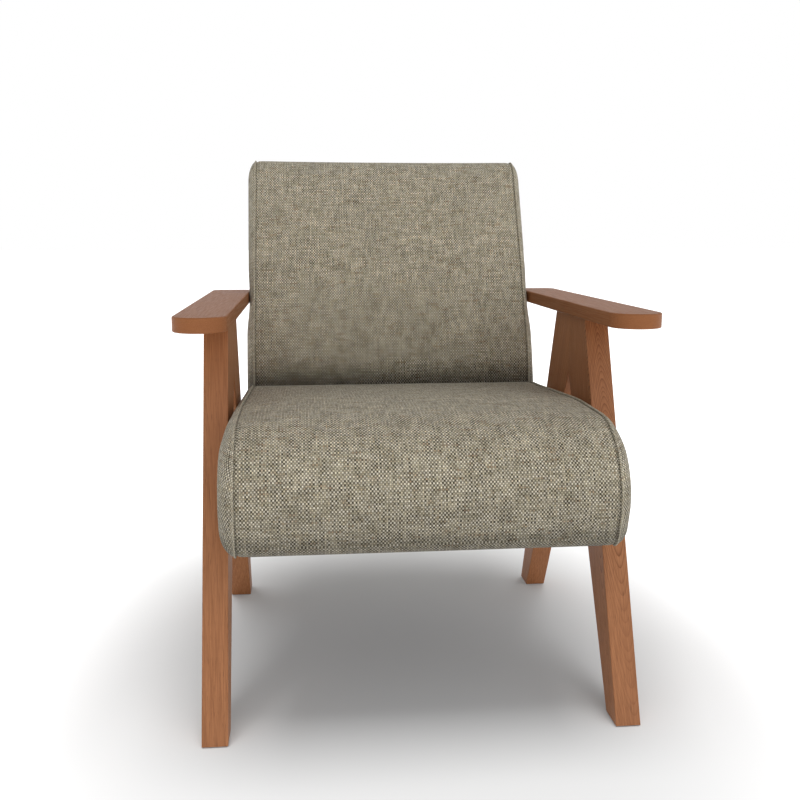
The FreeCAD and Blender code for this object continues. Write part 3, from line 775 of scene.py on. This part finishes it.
def seat_corners(crown):
    """The seat's corners (y, z, rounding, bow), from the lip along the bottom, over the top and the nose."""
    front = legs_middle - SEAT_NOSE_REACH
    heel = back_point(-SOFT_GAP, along_at_height(-SOFT_GAP, seat_bottom))[0]
    top = back_point(-SOFT_GAP, 0)
    return [
        (front + 0.017 - crown * 0.2, seat_bottom, 0.025, 0),
        (heel, seat_bottom, 0.008, 0),
        (*top, 0.006, 0),
        (front + SEAT_CREST_SETBACK, SEAT_CREST_HEIGHT + crown, 0.9, 0),
        (front - crown * 0.7, SEAT_NOSE_HEIGHT + crown * 0.7, 0.11 + crown * 0.6, 0),
        (front + 0.002 - crown * 0.6, SEAT_LIP_HEIGHT, 0.06, 0),
    ]


def into_and_up(y, z):
    """The same point as a depth into the back pad and a way up its slope: back_point, undone."""
    y -= legs_middle + CREASE_REACH
    z -= CREASE_HEIGHT
    return y * math.cos(RECLINE) - z * math.sin(RECLINE), y * math.sin(RECLINE) + z * math.cos(RECLINE)


def share_of(value):
    return min(1, max(0, value))


def smooth(value):
    value = share_of(value)
    return value * value * (3 - 2 * value)


def seat_tuck_and_shade(y, z):
    """Where a point of the seat goes as its rear edge tucks in, and how much shade is painted on it: less
    far out on top, most in the crease, and more again down the nose and under the chin."""
    depth, along = into_and_up(y, z)
    reach = TUCK_DEPTH * 0.85 * (1 - smooth(-depth / TUCK_RUN)) * share_of(1 + along / TUCK_BELOW)
    # Painted shade: on top towards the rear, strongest in the crease, and down the nose and under the chin.
    top = TOP_SHADE * share_of(1 + depth / 0.48) ** 1.3
    crease = top + (1 - top) * smooth(1 + depth / 0.012)
    nose = NOSE_SHADE * smooth((0.43 - z) / 0.1)
    chin = CHIN_SHADE * smooth((SEAT_LIP_HEIGHT - 0.014 - z) / 0.022)
    return (y + reach, z), max(crease, nose + chin)


def leg_front_at(height):
    rise = height / arm_low.z
    return legs_middle - foot_reach + (foot_reach - leg_top_reach) * rise


def seat_swell(x, y, z, turn):
    free = smooth((leg_front_at(z) - 0.004 - y) / FREE_RUN)
    behind = y - legs_middle + SEAT_NOSE_REACH - SHOULDER_REACH
    shoulder = smooth((z - SHOULDER_HEIGHT) / 0.035) * (1 - smooth(behind / 0.08))
    return abs(x) + (FREE_SWELL * free - SHOULDER_PULL * shoulder) * math.sin(turn) ** 2


seat_pad = pad_plan(seat_corners, SEAT_CROWN, seat_side_low, seat_side_high, SEAT_SIDE_DEPTH, seat_swell, seat_tuck_and_shade,
                    lambda y, z: (y, z), ("arc", 5, 0.0))
seat_cushion = sew_pad("seat_cushion", seat_pad)
print("seat cushion", len(seat_cushion.data.vertices), "points")

# %% [markdown]
# ## The back pad
#
# The back is a straight slab that leans with the sitter, rounded over the top and cut level where it meets
# the seat frame. Its sides dome like the seat's. The armrests nip them, so the side is flat at the
# armrests' height and swells above and below. The pad is also a few millimetres wider at the bottom, and
# its face curves in towards the crease, where the seat runs under it.

# %% Shape the back pad
BACK_DEPTH = 0.1
BACK_LENGTH = 0.4813
BACK_TOP_ROUND = 0.05
BACK_CROWN = 0.0025
BACK_BOW = 0.0008
BACK_SIDE_DEPTH = 0.04
SWELL_ABOVE = 0.0018
SWELL_BELOW = 0.0046
SEAM_TAPER = 0.0038
TUCK_ABOVE = 0.11
FACE_SHADE = 0.29


def back_corners(crown):
    """The back's corners (y, z, rounding, bow), from the crease along the bottom, up and over the top."""
    toe = back_point(0, along_at_height(0, seat_bottom))
    heel = back_point(BACK_DEPTH, along_at_height(BACK_DEPTH, seat_bottom))
    return [
        (*toe, 0.008, 0),
        (*heel, 0.008, 0),
        (*back_point(BACK_DEPTH, BACK_LENGTH), BACK_TOP_ROUND - 0.002, 0),
        (*back_point(0, BACK_LENGTH), BACK_TOP_ROUND - 0.002, BACK_BOW + crown),
        (*back_point(0, BACK_DEPTH / 2), 0, 0),
    ]


def back_swell(x, y, z, turn):
    above = SWELL_ABOVE * smooth((z - arm_high.z) / 0.05)
    below = SWELL_BELOW * smooth((arm_low.z - z) / 0.06)
    reach = abs(x) + (above + below) * math.sin(turn) ** 2
    taper = SEAM_TAPER * (0.5 - smooth((z - CREASE_HEIGHT) / BACK_LENGTH)) * math.cos(turn) ** 2
    return reach * (1 + taper / back_side_low.x)


def back_tuck_and_shade(y, z):
    """Where a point of the back goes as its face curves in, and how much shade is painted on it there."""
    depth, along = into_and_up(y, z)
    above = share_of(1 - along / TUCK_ABOVE) ** 2
    below = share_of(1 + along / TUCK_BELOW)
    front = 1 - smooth(depth / TUCK_RUN)
    reach = TUCK_DEPTH * above * below * front
    # Painted shade: the back's face darkens towards the crease.
    face = FACE_SHADE * share_of(1 - along / 0.26) ** 1.5
    crease = face + (1 - face) * smooth(1 - along / 0.065)
    return (y + reach * math.cos(RECLINE), z - reach * math.sin(RECLINE)), crease * front


back_pad = pad_plan(back_corners, BACK_CROWN, back_side_low, back_side_high, BACK_SIDE_DEPTH, back_swell, back_tuck_and_shade,
                    into_and_up, ("run", 2, 0.0))
back_cushion = sew_pad("back_cushion", back_pad)
print("back cushion", len(back_cushion.data.vertices), "points")

# %% [markdown]
# ## Filling the pads
#
# Stuffed cloth isn't a drawn curve: the foam pushes it out between the seams that hold it in. So the pads
# are sewn a little lean, and a short cloth simulation with pressure and no gravity fills them. It runs on
# an evenly remeshed copy, because the seams' fine rows would stop it, and what each point of the copy
# moves is then passed to the sewn pad. The seams, the sides that the frame presses, the bottom and the
# crease are held, and no point travels further than a few millimetres, so the pads keep their size.

# %% Say how loose the cloth is
PRESSURE = 4.0
FILL_FRAMES = 20
EVEN_SIZE = 0.009
LONGEST_MOVE = 0.005
HELD_BELOW = 0.1
NEAR_POINTS = 6
SEAM_HOLD, SEAM_FADE = 0.003, 0.06
BOTTOM_HOLD, BOTTOM_FADE = 0.012, 0.05


def looseness(cushion, seam_half):
    """How freely each point may move, from 0 at what holds the cloth to 1 in the open."""
    painted_shade_values = cushion.data.attributes["tuck_and_painted_shade"].data
    shares = []
    for point, tuck_and_painted_shade in zip(cushion.data.vertices, painted_shade_values):
        inside = smooth((seam_half - SEAM_HOLD - abs(point.co.x)) / SEAM_FADE)
        lifted = smooth((point.co.z - seat_bottom - BOTTOM_HOLD) / BOTTOM_FADE)
        shares.append(inside * lifted * max(0, 1 - 2 * tuck_and_painted_shade.value))
    return shares


def tree_of(points):
    tree = KDTree(len(points))
    for index, point in enumerate(points):
        tree.insert(point.co, index)
    tree.balance()
    return tree


print("the longest move is", LONGEST_MOVE)

# %% Fill a copy with air and pass its moves to the pad
def fill_pad(cushion, seam_half):
    shares = looseness(cushion, seam_half)
    bpy.ops.object.select_all(action="DESELECT")
    copy = in_scene(cushion.name + "_copy", cushion.data.copy())
    copy.select_set(True)
    bpy.context.view_layer.objects.active = copy
    even = copy.modifiers.new("even", "REMESH")
    even.mode = "VOXEL"
    even.voxel_size = EVEN_SIZE
    bpy.ops.object.modifier_apply(modifier=even.name)
    sewn = tree_of(cushion.data.vertices)
    held = copy.vertex_groups.new(name="held")
    stays = [point.index for point in copy.data.vertices if shares[sewn.find(point.co)[1]] < HELD_BELOW]
    held.add(stays, 1.0, "REPLACE")
    air = copy.modifiers.new("air", "CLOTH")
    air.settings.use_pressure = True
    air.settings.uniform_pressure_force = PRESSURE
    air.settings.effector_weights.gravity = 0
    air.settings.vertex_group_mass = held.name
    air.collision_settings.use_collision = False
    for number in range(1, FILL_FRAMES + 1):
        bpy.context.scene.frame_set(number)
    filled = copy.evaluated_get(bpy.context.evaluated_depsgraph_get()).data
    moves = [end.co - start.co for start, end in zip(copy.data.vertices, filled.vertices)]
    near = tree_of(copy.data.vertices)
    furthest = 0.0
    for point, share in zip(cushion.data.vertices, shares):
        found = near.find_n(point.co, NEAR_POINTS)
        weights = [1 / (distance + 0.001) ** 2 for spot, index, distance in found]
        move = sum((moves[index] * weight for (spot, index, distance), weight in zip(found, weights)), Vector())
        move /= sum(weights)
        allowed = LONGEST_MOVE * share * math.tanh(move.length / LONGEST_MOVE)
        furthest = max(furthest, allowed)
        point.co += move.normalized() * allowed
    bpy.ops.object.delete()
    bpy.context.scene.frame_set(1)
    return furthest


for cushion, seam_half in ((seat_cushion, seat_side_low.x), (back_cushion, back_side_low.x)):
    print(cushion.name, "swelled by", round(fill_pad(cushion, seam_half), 5))

# %% Put the pads in place of the plain solids
for cushion in (seat_cushion, back_cushion):
    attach(cushion, "root")
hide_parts("seat_foam", "seat_top_panel", "seat_side_panel_left", "seat_side_panel_right")
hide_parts("back_foam", "back_rear_padding", "back_front_panel", "back_outside_panel",
            "back_side_panel_left", "back_side_panel_right")
cover_panels = ("seat_top_panel", "seat_side_panel_left", "seat_side_panel_right", "back_front_panel",
                "back_outside_panel", "back_side_panel_left", "back_side_panel_right")
finish_nodes(cover_fabric("tweed_panels", mapped=False), *cover_panels)
print("pads stand for the foam and the cover panels")

# %% [markdown]
# ## The frame inside the pads
#
# Under the cloth the seat and back are built on rails of a plain pale hardwood, joined with pegs. It is the
# same kind of figure as the show wood in paler, drier tones. Each rail's grain runs along its own length,
# so the figure is turned to lie along X, along Y or up the slope.

# %% Finish the rails, posts, blocks and pegs
FRAME_TONES = (shade(206, 174, 128), shade(214, 184, 140), shade(170, 132, 88), shade(140, 102, 64))
ALONG_X = (0, math.pi / 2, 0)
UP_THE_BACK = (RECLINE, 0, 0)
frame_woods = {
    "seat_front_rail": (ALONG_X, 0.21), "seat_rear_rail": (ALONG_X, 0.35), "back_top_rail": (ALONG_X, 0.48),
    "back_bottom_rail": (ALONG_X, 0.27), "seat_side_rail_left": (ALONG_Y, 0.52),
    "seat_side_rail_right": (ALONG_Y, 0.17), "back_post_left": (UP_THE_BACK, 0.44),
    "back_post_right": (UP_THE_BACK, 0.13), "corner_blocks": (ALONG_Y, 0.39),
    "leg_pegs": (ALONG_X, 0.11), "armrest_pegs": ((0, 0, 0), 0.23), "seat_rail_pegs": (ALONG_X, 0.31),
    "back_rail_pegs": (ALONG_X, 0.15),
}
for name, (rotation, shift) in frame_woods.items():
    place = (shift, shift * 0.7, shift * 3)
    finish_nodes(board_wood("sawn_" + name, FRAME_TONES, rotation, place, SAWN_RINGS), name)
print(len(frame_woods), "wooden pieces inside")

# %% [markdown]
# ## Mottled finishes: steel, nylon, felt, board and foam
#
# None of these is one flat colour when seen close. Plating clouds, oil lies unevenly on spring wire, felt
# is a mat of odd fibres, and pressed board shows its chips. They share one group that gives slow clouds
# and fine grit at sizes in metres, and each material brings its own two tones, sizes and roughness.

# %% Build the mottle group
def build_mottle():
    sockets = [("Vector", "Vector", (0, 0, 0)), ("Cloud Size", "Float", 0.01), ("Grit Size", "Float", 0.001)]
    tree, group_in, group_out = new_group("mottle", sockets, [("Cloud", "Float"), ("Grit", "Float")])
    for socket, result, detail in (("Cloud Size", "Cloud", 3.0), ("Grit Size", "Grit", 1.0)):
        scale = maths(tree, "DIVIDE", 1.0, group_in[socket])
        marks = noise_at(tree, group_in["Vector"], scale, detail)
        tree.links.new(remap(tree, marks, 0.32, 0.68), group_out[result])
    return tree


mottle = build_mottle()
print("group", mottle.name, "with", len(mottle.nodes), "nodes")


# %% Make the mottled finishes
ROUGHNESS_SPREAD = 0.07


def mottled(name, pale, dark, cloud_size, grit_size, roughness, depth, metallic):
    material, tree, shader = new_material(name, Metallic=metallic)
    inputs = {"Vector": object_place(tree), "Cloud Size": cloud_size, "Grit Size": grit_size}
    marks = use_group(tree, mottle, inputs)
    colour = mix(tree, marks["Cloud"], pale, dark)
    colour = mix(tree, times(tree, marks["Grit"], 0.4), colour, dark)
    rough = remap(tree, marks["Grit"], 0, 1, roughness - ROUGHNESS_SPREAD, roughness + ROUGHNESS_SPREAD)
    feed(tree, shader, {"Base Color": colour, "Roughness": rough, "Normal": bump(tree, marks["Grit"], depth)})
    return material


# Pale and dark tone, size of the clouds and of the grit, roughness, depth of the relief, metal or not.
mottle_recipes = {
    "black_oxide_steel": (shade(74, 74, 78), shade(46, 46, 48), 0.006, 0.0007, 0.42, 0.00003, 1),
    "zinc_plated_steel": (shade(198, 200, 196), shade(150, 154, 160), 0.007, 0.0006, 0.36, 0.00002, 1),
    "oiled_spring_steel": (shade(122, 124, 130), shade(72, 68, 66), 0.03, 0.001, 0.38, 0.00003, 1),
    "pale_nylon": (shade(206, 200, 186), shade(168, 160, 144), 0.009, 0.0009, 0.55, 0.00006, 0),
    "grey_felt": (shade(132, 126, 116), shade(74, 70, 66), 0.006, 0.0012, 0.92, 0.0005, 0),
    "pressed_board": (shade(150, 108, 68), shade(96, 62, 36), 0.014, 0.0016, 0.7, 0.0001, 0),
    "pale_foam": (shade(240, 222, 168), shade(222, 198, 138), 0.03, 0.0016, 0.92, 0.0004, 0),
}
mottles = {name: mottled(name, *recipe) for name, recipe in mottle_recipes.items()}
finish_nodes(mottles["black_oxide_steel"], "frame_bolts")
finish_nodes(mottles["zinc_plated_steel"], "bolt_sleeves", "rail_inserts", "post_screws")
finish_nodes(mottles["oiled_spring_steel"], "seat_springs")
finish_nodes(mottles["pale_nylon"], "foot_glides", "spring_clips")
finish_nodes(mottles["grey_felt"], "seat_felt", "back_rear_padding")
finish_nodes(mottles["pressed_board"], "back_board")
finish_nodes(mottles["pale_foam"], "seat_foam", "back_foam")
print(len(mottles), "mottled finishes")

# %% [markdown]
# ## Webbing
#
# The back rests on flat elastic webbing stretched between the posts. It is a plain weave too, so it uses
# the tweed group again, with a finer pitch and darker yarns of its own.

# %% Finish the webbing
def woven_webbing(name, pitch):
    material, tree, shader = new_material(name, Roughness=0.85)
    cloth = stretched(tree, object_place(tree), (1, 1, 1), (math.pi / 2 - RECLINE, 0, 0))
    weave = use_group(tree, tweed, {"Vector": cloth, "Pitch": pitch})
    weft = mix(tree, weave["Weft Tone"], shade(126, 112, 92), shade(160, 146, 122))
    warp = mix(tree, weave["Warp Tone"], shade(66, 58, 48), shade(96, 86, 70))
    colour = mix(tree, weave["Weft"], warp, weft)
    feed(tree, shader, {"Base Color": colour, "Normal": bump(tree, weave["Height"], 0.0003)})
    return material


finish_nodes(woven_webbing("elastic_webbing", 0.0018), "back_webbing")
print("webbing finished")

# %% [markdown]
# ## The dust cover under the seat
#
# A thin black bonded cloth closes the underside, so nobody sees the springs and no dust falls through. It
# is cut to the size of the seat frame and stapled tight to the rails, but it still hangs a few millimetres
# low in the middle and gathers a little between its staples. It starts as a fine grid, its points are
# lowered by those two effects, and a Solidify modifier gives it the cloth's thickness.

# %% Hang the dust cover
COVER_LOW, COVER_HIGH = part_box("dust_cover")
COVER_SIZE = (COVER_HIGH.x - COVER_LOW.x, COVER_HIGH.y - COVER_LOW.y)
COVER_MIDDLE = ((COVER_LOW.x + COVER_HIGH.x) / 2, (COVER_LOW.y + COVER_HIGH.y) / 2)
COVER_SAG = 0.0055
COVER_THICKNESS = 0.0005
COVER_TOP = COVER_HIGH.z - 0.0002 - COVER_THICKNESS
STAPLE_INSET = 0.008
STAPLES_EACH_WAY = 9
GATHER = 0.0006
UNEVEN = 0.0003
SAG_POWER = 1.7


def cover_drop(x, y):
    """How far below its stapled edge the cloth hangs at a place."""
    across = (x - COVER_MIDDLE[0]) / (COVER_SIZE[0] / 2)
    along = (y - COVER_MIDDLE[1]) / (COVER_SIZE[1] / 2)
    sag = COVER_SAG * max(0, 1 - abs(across) ** SAG_POWER) * max(0, 1 - abs(along) ** SAG_POWER)
    from_edge = min(1 - abs(across), 1 - abs(along)) * COVER_SIZE[0] / 2
    fade = math.exp(-max(0, from_edge - STAPLE_INSET) / 0.03) * smooth(from_edge / STAPLE_INSET)
    run = along if abs(across) > abs(along) else across
    wave = 0.5 - 0.5 * math.cos(run * math.pi * (STAPLES_EACH_WAY - 1))
    uneven = UNEVEN * noise(Vector((x, y, 0)) * 28)
    return sag + GATHER * wave * fade + uneven * smooth(from_edge / 0.02)


bpy.ops.mesh.primitive_grid_add(x_subdivisions=96, y_subdivisions=100, size=1, location=(0, 0, 0))
dust_cloth = bpy.context.object
dust_cloth.name = "dust_cloth"
for point in dust_cloth.data.vertices:
    x = COVER_MIDDLE[0] + point.co.x * COVER_SIZE[0]
    y = COVER_MIDDLE[1] + point.co.y * COVER_SIZE[1]
    point.co = (x, y, COVER_TOP - cover_drop(x, y))
thickness = dust_cloth.modifiers.new("cloth_thickness", "SOLIDIFY")
thickness.thickness = COVER_THICKNESS
thickness.offset = 1
bpy.ops.object.shade_smooth()
print("dust cloth", [round(side, 4) for side in COVER_SIZE], "sags", COVER_SAG)

# %% [markdown]
# ## Bonded cloth
#
# The cloth isn't woven: fine fibres lie every way and are welded together at rows of tiny dots. The dots
# come from a Voronoi pattern with no randomness, which is a regular grid, and the fibres from fine noise.

# %% Finish the dust cloth
def bonded_cloth(name):
    material, tree, shader = new_material(name, Roughness=0.85)
    place = object_place(tree)
    turned = stretched(tree, place, (1, 1, 0), (0, 0, math.pi / 4))
    dots = add(tree, "TexVoronoi", {"Vector": turned, "Scale": 620.0, "Randomness": 0.0}).outputs["Distance"]
    welded = remap(tree, dots, 0.2, 0.34, 1.0, 0.0)
    marks = use_group(tree, mottle, {"Vector": place, "Cloud Size": 0.05, "Grit Size": 0.0006})
    colour = mix(tree, marks["Grit"], shade(40, 40, 42), shade(62, 62, 64))
    colour = mix(tree, times(tree, marks["Cloud"], 0.4), colour, shade(30, 30, 32))
    colour = mix(tree, times(tree, welded, 0.6), colour, shade(22, 22, 24))
    height = maths(tree, "SUBTRACT", marks["Grit"], welded)
    feed(tree, shader, {"Base Color": colour, "Normal": bump(tree, height, 0.0002)})
    return material


bonded = bonded_cloth("bonded_dust_cloth")
dust_cloth.data.materials.append(bonded)
finish_nodes(bonded, "dust_cover")
print("made", bonded.name)

# %% [markdown]
# ## Staples
#
# Each staple is a flat wire bridge with two legs driven into the rail. One is modelled: a box is cut near
# both ends, the two end patches are drawn up into legs, and its edges are bevelled. The rest are copies,
# each with its own mesh, turned to lie along the edge that they hold.

# %% Model one staple
STAPLE_LENGTH = 0.0105
STAPLE_WIDTH = 0.0012
STAPLE_HEIGHT = 0.0005
WIRE_ROUND = 0.00016


def pick_faces(piece, wanted):
    """Selects the faces of the piece in edit mode for which wanted(centre, normal) is true."""
    mesh = bmesh.from_edit_mesh(piece.data)
    for face in mesh.faces:
        face.select_set(wanted(face.calc_center_median(), face.normal))
    bmesh.update_edit_mesh(piece.data)


bpy.ops.mesh.primitive_cube_add(size=1, location=(0, 0, 0))
staple = bpy.context.object
staple.name = "staple_1"
bpy.ops.object.mode_set(mode="EDIT")
bpy.ops.transform.resize(value=(STAPLE_LENGTH, STAPLE_WIDTH, STAPLE_HEIGHT))
for side in (-1, 1):
    bpy.ops.mesh.select_all(action="SELECT")
    bpy.ops.mesh.bisect(plane_co=(side * (STAPLE_LENGTH / 2 - STAPLE_HEIGHT), 0, 0), plane_no=(1, 0, 0))
bpy.ops.mesh.select_mode(type="FACE")
pick_faces(staple, lambda centre, normal: normal.z > 0.9 and abs(centre.x) > STAPLE_LENGTH / 2 - STAPLE_HEIGHT)
bpy.ops.mesh.extrude_region_move(TRANSFORM_OT_translate={"value": (0, 0, STAPLE_HEIGHT)})
bpy.ops.object.mode_set(mode="OBJECT")
soft_edges = staple.modifiers.new("drawn_wire", "BEVEL")
soft_edges.width = WIRE_ROUND
soft_edges.segments = 2
bpy.ops.object.modifier_apply(modifier="drawn_wire")
bpy.ops.object.shade_smooth_by_angle(angle=math.radians(40))
staple.data.materials.append(mottles["zinc_plated_steel"])
print("staple", [round(side, 4) for side in staple.dimensions])

# %% Copy the staples round the cover's edge
STAPLE_PROUD = 0.45
CORNER_GAP = 0.008
MOST_CROOKED = math.radians(6)
places = []
for step in range(STAPLES_EACH_WAY):
    share = step / (STAPLES_EACH_WAY - 1) * 2 - 1
    x_reach, y_reach = COVER_SIZE[0] / 2 - STAPLE_INSET, COVER_SIZE[1] / 2 - STAPLE_INSET
    for side in (-1, 1):
        places.append((share * (x_reach - CORNER_GAP), side * y_reach, 0))
        places.append((side * x_reach, share * (y_reach - CORNER_GAP), math.pi / 2))
model = staple.data.copy()
staples = [staple]
for number, (x, y, turn) in enumerate(places):
    if number:
        staples.append(in_scene("staple_" + str(number + 1), model.copy()))
    x, y = x + COVER_MIDDLE[0], y + COVER_MIDDLE[1]
    height = COVER_TOP - cover_drop(x, y) - STAPLE_HEIGHT * STAPLE_PROUD
    crooked = MOST_CROOKED * noise(Vector((x, y, 1)) * 60)
    staples[-1].data.transform(Matrix.Translation((x, y, height)) @ Matrix.Rotation(turn + crooked, 4, "Z"))
for piece in [dust_cloth] + staples:
    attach(piece, "root")
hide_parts("dust_cover")
print(len(staples), "staples")

# %% [markdown]
# ## The floor
#
# A studio shot on white has no horizon. The floor is a matt grey, and it glows for the eye alone: little
# near the chair, so that the shadow stays, and fully further out, so that it ends in the same white as the
# world behind it. The glow can't light the chair, because only rays that are seen, directly or in a
# reflection, meet it. To all other rays the floor is a paler grey that throws soft light back up.

# %% Lay the floor
FLOOR_SIZE = 80
FLOOR_SEEN_GREY = 0.5
FLOOR_GREY = 0.72
FLOOR_GLOW_NEAR = 0.085
FLOOR_GLOW_FAR = 1.0
GLOW_STRETCH = (1.19, 0.9, 1)
GLOW_SHIFT = (0, 0.12, 0)
GLOW_STARTS = 0.38
GLOW_FULL = 1.38

bpy.ops.mesh.primitive_plane_add(size=FLOOR_SIZE, location=(0, 0, 0))
floor = bpy.context.object
floor.name = "studio_floor"


def seen_by_eye(tree):
    path = add(tree, "LightPath").outputs
    reflected = maths(tree, "MAXIMUM", path["Is Glossy Ray"], path["Is Transmission Ray"])
    return maths(tree, "MAXIMUM", path["Is Camera Ray"], reflected)


material, tree, shader = new_material("studio_white", Roughness=0.95, Specular_IOR_Level=0,
                                      Emission_Color=(1, 1, 1, 1))
away = vectors(tree, "LENGTH", stretched(tree, object_place(tree), GLOW_STRETCH, location=GLOW_SHIFT))
glow = remap(tree, away, GLOW_STARTS, GLOW_FULL, FLOOR_GLOW_NEAR, FLOOR_GLOW_FAR)
grey = mix_numbers(tree, seen_by_eye(tree), FLOOR_GREY, FLOOR_SEEN_GREY)
feed(tree, shader, {"Emission Strength": times(tree, seen_by_eye(tree), glow), "Base Color": grey})
floor.data.materials.append(material)
print("floor laid")

# %% [markdown]
# ## The light
#
# The world is white where it is seen, and lights the chair as a big soft room does: a little more from
# above than from the sides, and most from a wide bright patch in front, above and to the right, as from a
# softbox. One large lamp high over the chair is linked to the floor alone and gives the soft shadow there,
# so the shadow can be set without burning out the armrests and the top of the seat.

# %% Light the chair
ZENITH_FILL = 0.5
HORIZON_FILL = 0.38
RIGHT_SHARE = 0.12
SOFTBOX_TOWARDS = (0.3, -0.75, 0.55)
SOFTBOX_TIGHTNESS = 5.0
SOFTBOX_FILL = 1.07
LAMP_PLACE = (-0.2, -1.0, 8)
LAMP_SIZE = 4.8
LAMP_POWER = 690

world = bpy.data.worlds.new("studio_world")
world.use_nodes = True
bpy.context.scene.world = world
tree = world.node_tree
direction = object_place(tree)
looking = add(tree, "SeparateXYZ", {0: direction}).outputs
fill = add(tree, "MapRange", {0: looking[2], 1: 0.0, 2: 1.0, 3: HORIZON_FILL, 4: ZENITH_FILL}).outputs[0]
fill = times(tree, fill, maths(tree, "MULTIPLY_ADD", looking[0], RIGHT_SHARE, 1.0))
softbox = vectors(tree, "DOT_PRODUCT", direction, Vector(SOFTBOX_TOWARDS).normalized())
softbox = maths(tree, "POWER", maths(tree, "MAXIMUM", softbox, 0.0), SOFTBOX_TIGHTNESS)
fill = maths(tree, "MULTIPLY_ADD", softbox, SOFTBOX_FILL, fill)
strength = mix_numbers(tree, seen_by_eye(tree), fill, 1.0)
feed(tree, tree.nodes["Background"].inputs, {"Color": (1, 1, 1, 1), "Strength": strength})

bpy.ops.object.light_add(type="AREA", location=LAMP_PLACE)
lamp = bpy.context.object
lamp.name = "floor_lamp"
lamp.data.size = LAMP_SIZE
lamp.data.energy = LAMP_POWER
lamp.rotation_euler = (-Vector(LAMP_PLACE)).to_track_quat("-Z", "Y").to_euler()
lit = bpy.data.collections.new("floor_lamp_lights")
lit.objects.link(floor)
lit.collection_objects[0].light_linking.link_state = "INCLUDE"
lamp.light_linking.receiver_collection = lit
bpy.context.scene.view_settings.view_transform = "Standard"
print("world and one lamp")
